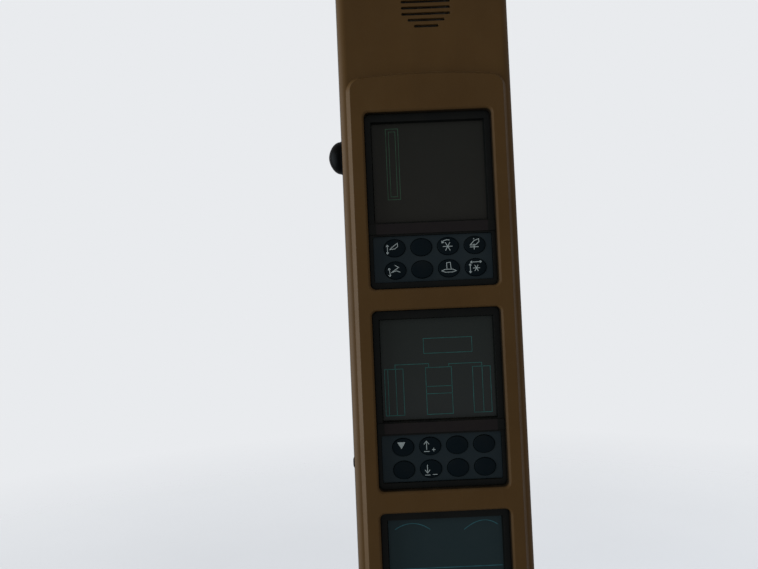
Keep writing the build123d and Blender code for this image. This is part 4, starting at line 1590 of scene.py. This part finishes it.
    def bracket_bolts(self) -> Surface:
        """Flanged hexagon heads at the bracket's corners, facing the housing.

        A hexagon's radius is its apothem over the cosine of the angle from its nearest flat.

        Returns:
            The four heads.
        """
        front = span(self.node("bracket"))[0][1]
        rim = [(0.0062, -0.0002), (0.0066, 0.0003), (0.0062, 0.0010)]
        flange = turned(rim + [(0.0050, 0.0016), (0.0010, 0.0016)], 28)
        turn = np.linspace(0.0, 2 * np.pi, 36, endpoint=False)
        radius = self.bolt_apothem / np.cos((turn + np.pi / 6) % (np.pi / 3) - np.pi / 6)
        flat = np.stack([radius * np.cos(turn), radius * np.sin(turn)], -1)
        steps = ((1.0, 0.0010), (1.0, 0.0048), (0.93, 0.0053), (0.25, 0.0053))
        rings = [np.column_stack([share * flat, np.full(len(flat), height)]) for share, height in steps]
        bolt = Surface.joined([flange, Surface.tube(np.array(rings))])
        towards = Matrix.Rotation(math.radians(90.0), 4, "X")
        places = self.corners(self.bolt_place[0], front, self.bolt_place[1])
        return Surface.joined([bolt.moved(place @ towards) for place in places])

    def bezel(self) -> BandedMoulding:
        """The bezel's dark moulding, with the bar at its heights.

        Returns:
            The finish.
        """
        middle = float(self.middle[2])
        return BandedMoulding(
            f"bezel_moulding_{self.name}", (7, 8, 7), (9, 10, 9), 0.45, 0.05, grain_scale=1300.0,
            grain_height=0.00004, wear=0.25, worn_colour=(30, 28, 27), dust=0.02, rounding=0.0005,
            bar_foot=middle + self.bar_foot, bar_head=middle + self.bar_head,
        )

    def build(self) -> None:
        """Dress the monitor's solids and make its finer pieces."""
        dress(self.bezel().material(), self.node("bezel"))
        dress(Look.HOUSING.made(), self.node("housing"), self.node("socket"))
        dress(Look.ZINC.made(), self.node("bracket"))
        self.window()
        self.screen_lines()
        self.display()
        self.pad_face()
        self.keys()
        self.marks()
        make_piece(f"ear_screws_{self.name}", self.ear_screws(), Look.ZINC.made())
        make_piece(f"bracket_bolts_{self.name}", self.bracket_bolts(), Look.ZINC.made())


@dataclass
class Studio:
    """A pale floor, an even sky, one soft lamp and the camera at the photograph's place."""

    floor_radius: float = 14.0
    floor_z: float = -0.0003
    floor_steps: int = 96
    floor_rings: int = 24
    floor_fade: tuple[float, float] = (1.2, 4.5)
    pale: Colour = (233, 235, 238)
    sky_strength: float = 1.0
    lamp_at: tuple[float, float, float] = (-1.6, -0.15, 1.25)
    lamp_aim: tuple[float, float, float] = (0.0, -0.08, 1.35)
    lamp_size: float = 1.7
    lamp_watts: float = 26.0
    lamp_colour: tuple[float, float, float] = (0.82, 0.92, 1.0)
    lamp_spread: float = 100.0
    eye: tuple[float, float, float] = (-0.0646, -0.7101, 1.2028)
    forward: tuple[float, float, float] = (0.00744, 0.99958, 0.02797)
    up: tuple[float, float, float] = (0.04227, -0.02826, 0.99871)
    lens: float = 26.6
    sensor_width: float = 36.0
    nearest: float = 0.02

    def floor(self) -> None:
        """A wide round floor: rings that spread from the post with the square of their number."""
        share = np.linspace(1.0, 0.02, self.floor_rings) ** 2
        turn = np.linspace(0.0, 2 * np.pi, self.floor_steps, endpoint=False)
        x = self.floor_radius * share[:, None] * np.cos(turn)
        y = self.floor_radius * share[:, None] * np.sin(turn)
        top = Surface.tube(np.stack([x, y, np.full_like(x, self.floor_z)], -1))
        top.triangles = top.triangles[self.floor_steps:]
        made = in_scene("studio_floor", top.mesh("studio_floor"))
        made.data.materials.append(self.floor_finish())

    def floor_finish(self) -> Material:
        """The floor's pale, matt finish, which fades out far from the post.

        Returns:
            The material.
        """
        made, graph = new_material("pale_floor")
        tone = graph.between(graph.noise(1.2, 3.0, 0.5), 0.3, 0.7)
        darker = tuple(c - 5 for c in self.pale)
        spread = graph.add("ShaderNodeVectorMath", {0: graph.place()}, operation="LENGTH").outputs["Value"]
        graph.surface({
            "Base Color": graph.blend(tone, linear(self.pale), linear(darker)),
            "Roughness": 0.9,
            "Specular IOR Level": 0.1,
            "Alpha": graph.between(spread, *self.floor_fade, 1.0, 0.0),
        })
        return made

    def sky(self) -> None:
        """An even pale surround that lights the post from all sides."""
        world = bpy.data.worlds.new("studio")
        bpy.context.scene.world = world
        world.use_nodes = True
        graph = Graph(world.node_tree)
        even = {"Color": linear(self.pale), "Strength": self.sky_strength}
        light = graph.add("ShaderNodeBackground", even)
        graph.add("ShaderNodeOutputWorld", {"Surface": light.outputs[0]})

    def lamp(self) -> None:
        """A square soft lamp on the left, which faces the monitors."""
        light = bpy.data.lights.new("soft_side_left", "AREA")
        light.shape = "SQUARE"
        light.size = self.lamp_size
        light.energy = self.lamp_watts
        light.color = self.lamp_colour
        light.spread = math.radians(self.lamp_spread)
        made = in_scene("soft_side_left", light)
        made.location = self.lamp_at
        aim = Vector(self.lamp_aim) - Vector(self.lamp_at)
        made.rotation_euler = aim.to_track_quat("-Z", "Y").to_euler()

    def camera(self) -> None:
        """The camera as it was solved from the photograph."""
        lens = bpy.data.cameras.new("photograph_view")
        lens.lens = self.lens
        lens.sensor_width = self.sensor_width
        lens.sensor_fit = "HORIZONTAL"
        lens.clip_start = self.nearest
        made = in_scene("photograph_view", lens)
        forward = Vector(self.forward).normalized()
        right = forward.cross(Vector(self.up)).normalized()
        turn = Matrix((right, right.cross(forward), -forward)).transposed().to_4x4()
        made.matrix_world = Matrix.Translation(self.eye) @ turn
        bpy.context.scene.camera = made

    def build(self) -> None:
        """Set up the floor, the light and the camera."""
        self.floor()
        self.sky()
        self.lamp()
        self.camera()


def main() -> None:
    """Build the sub-assemblies in order."""
    logging.basicConfig(level=logging.INFO, format="%(name)s: %(message)s")
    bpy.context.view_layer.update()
    bpy.context.scene.view_settings.view_transform = "Standard"
    Studio().build()
    SteelPost().build()
    Cover().build()
    PaneStrips().build()
    Speaker().build()
    for name in DISPLAYS:
        Monitor(name).build()


if __name__ == "__main__":
    main()
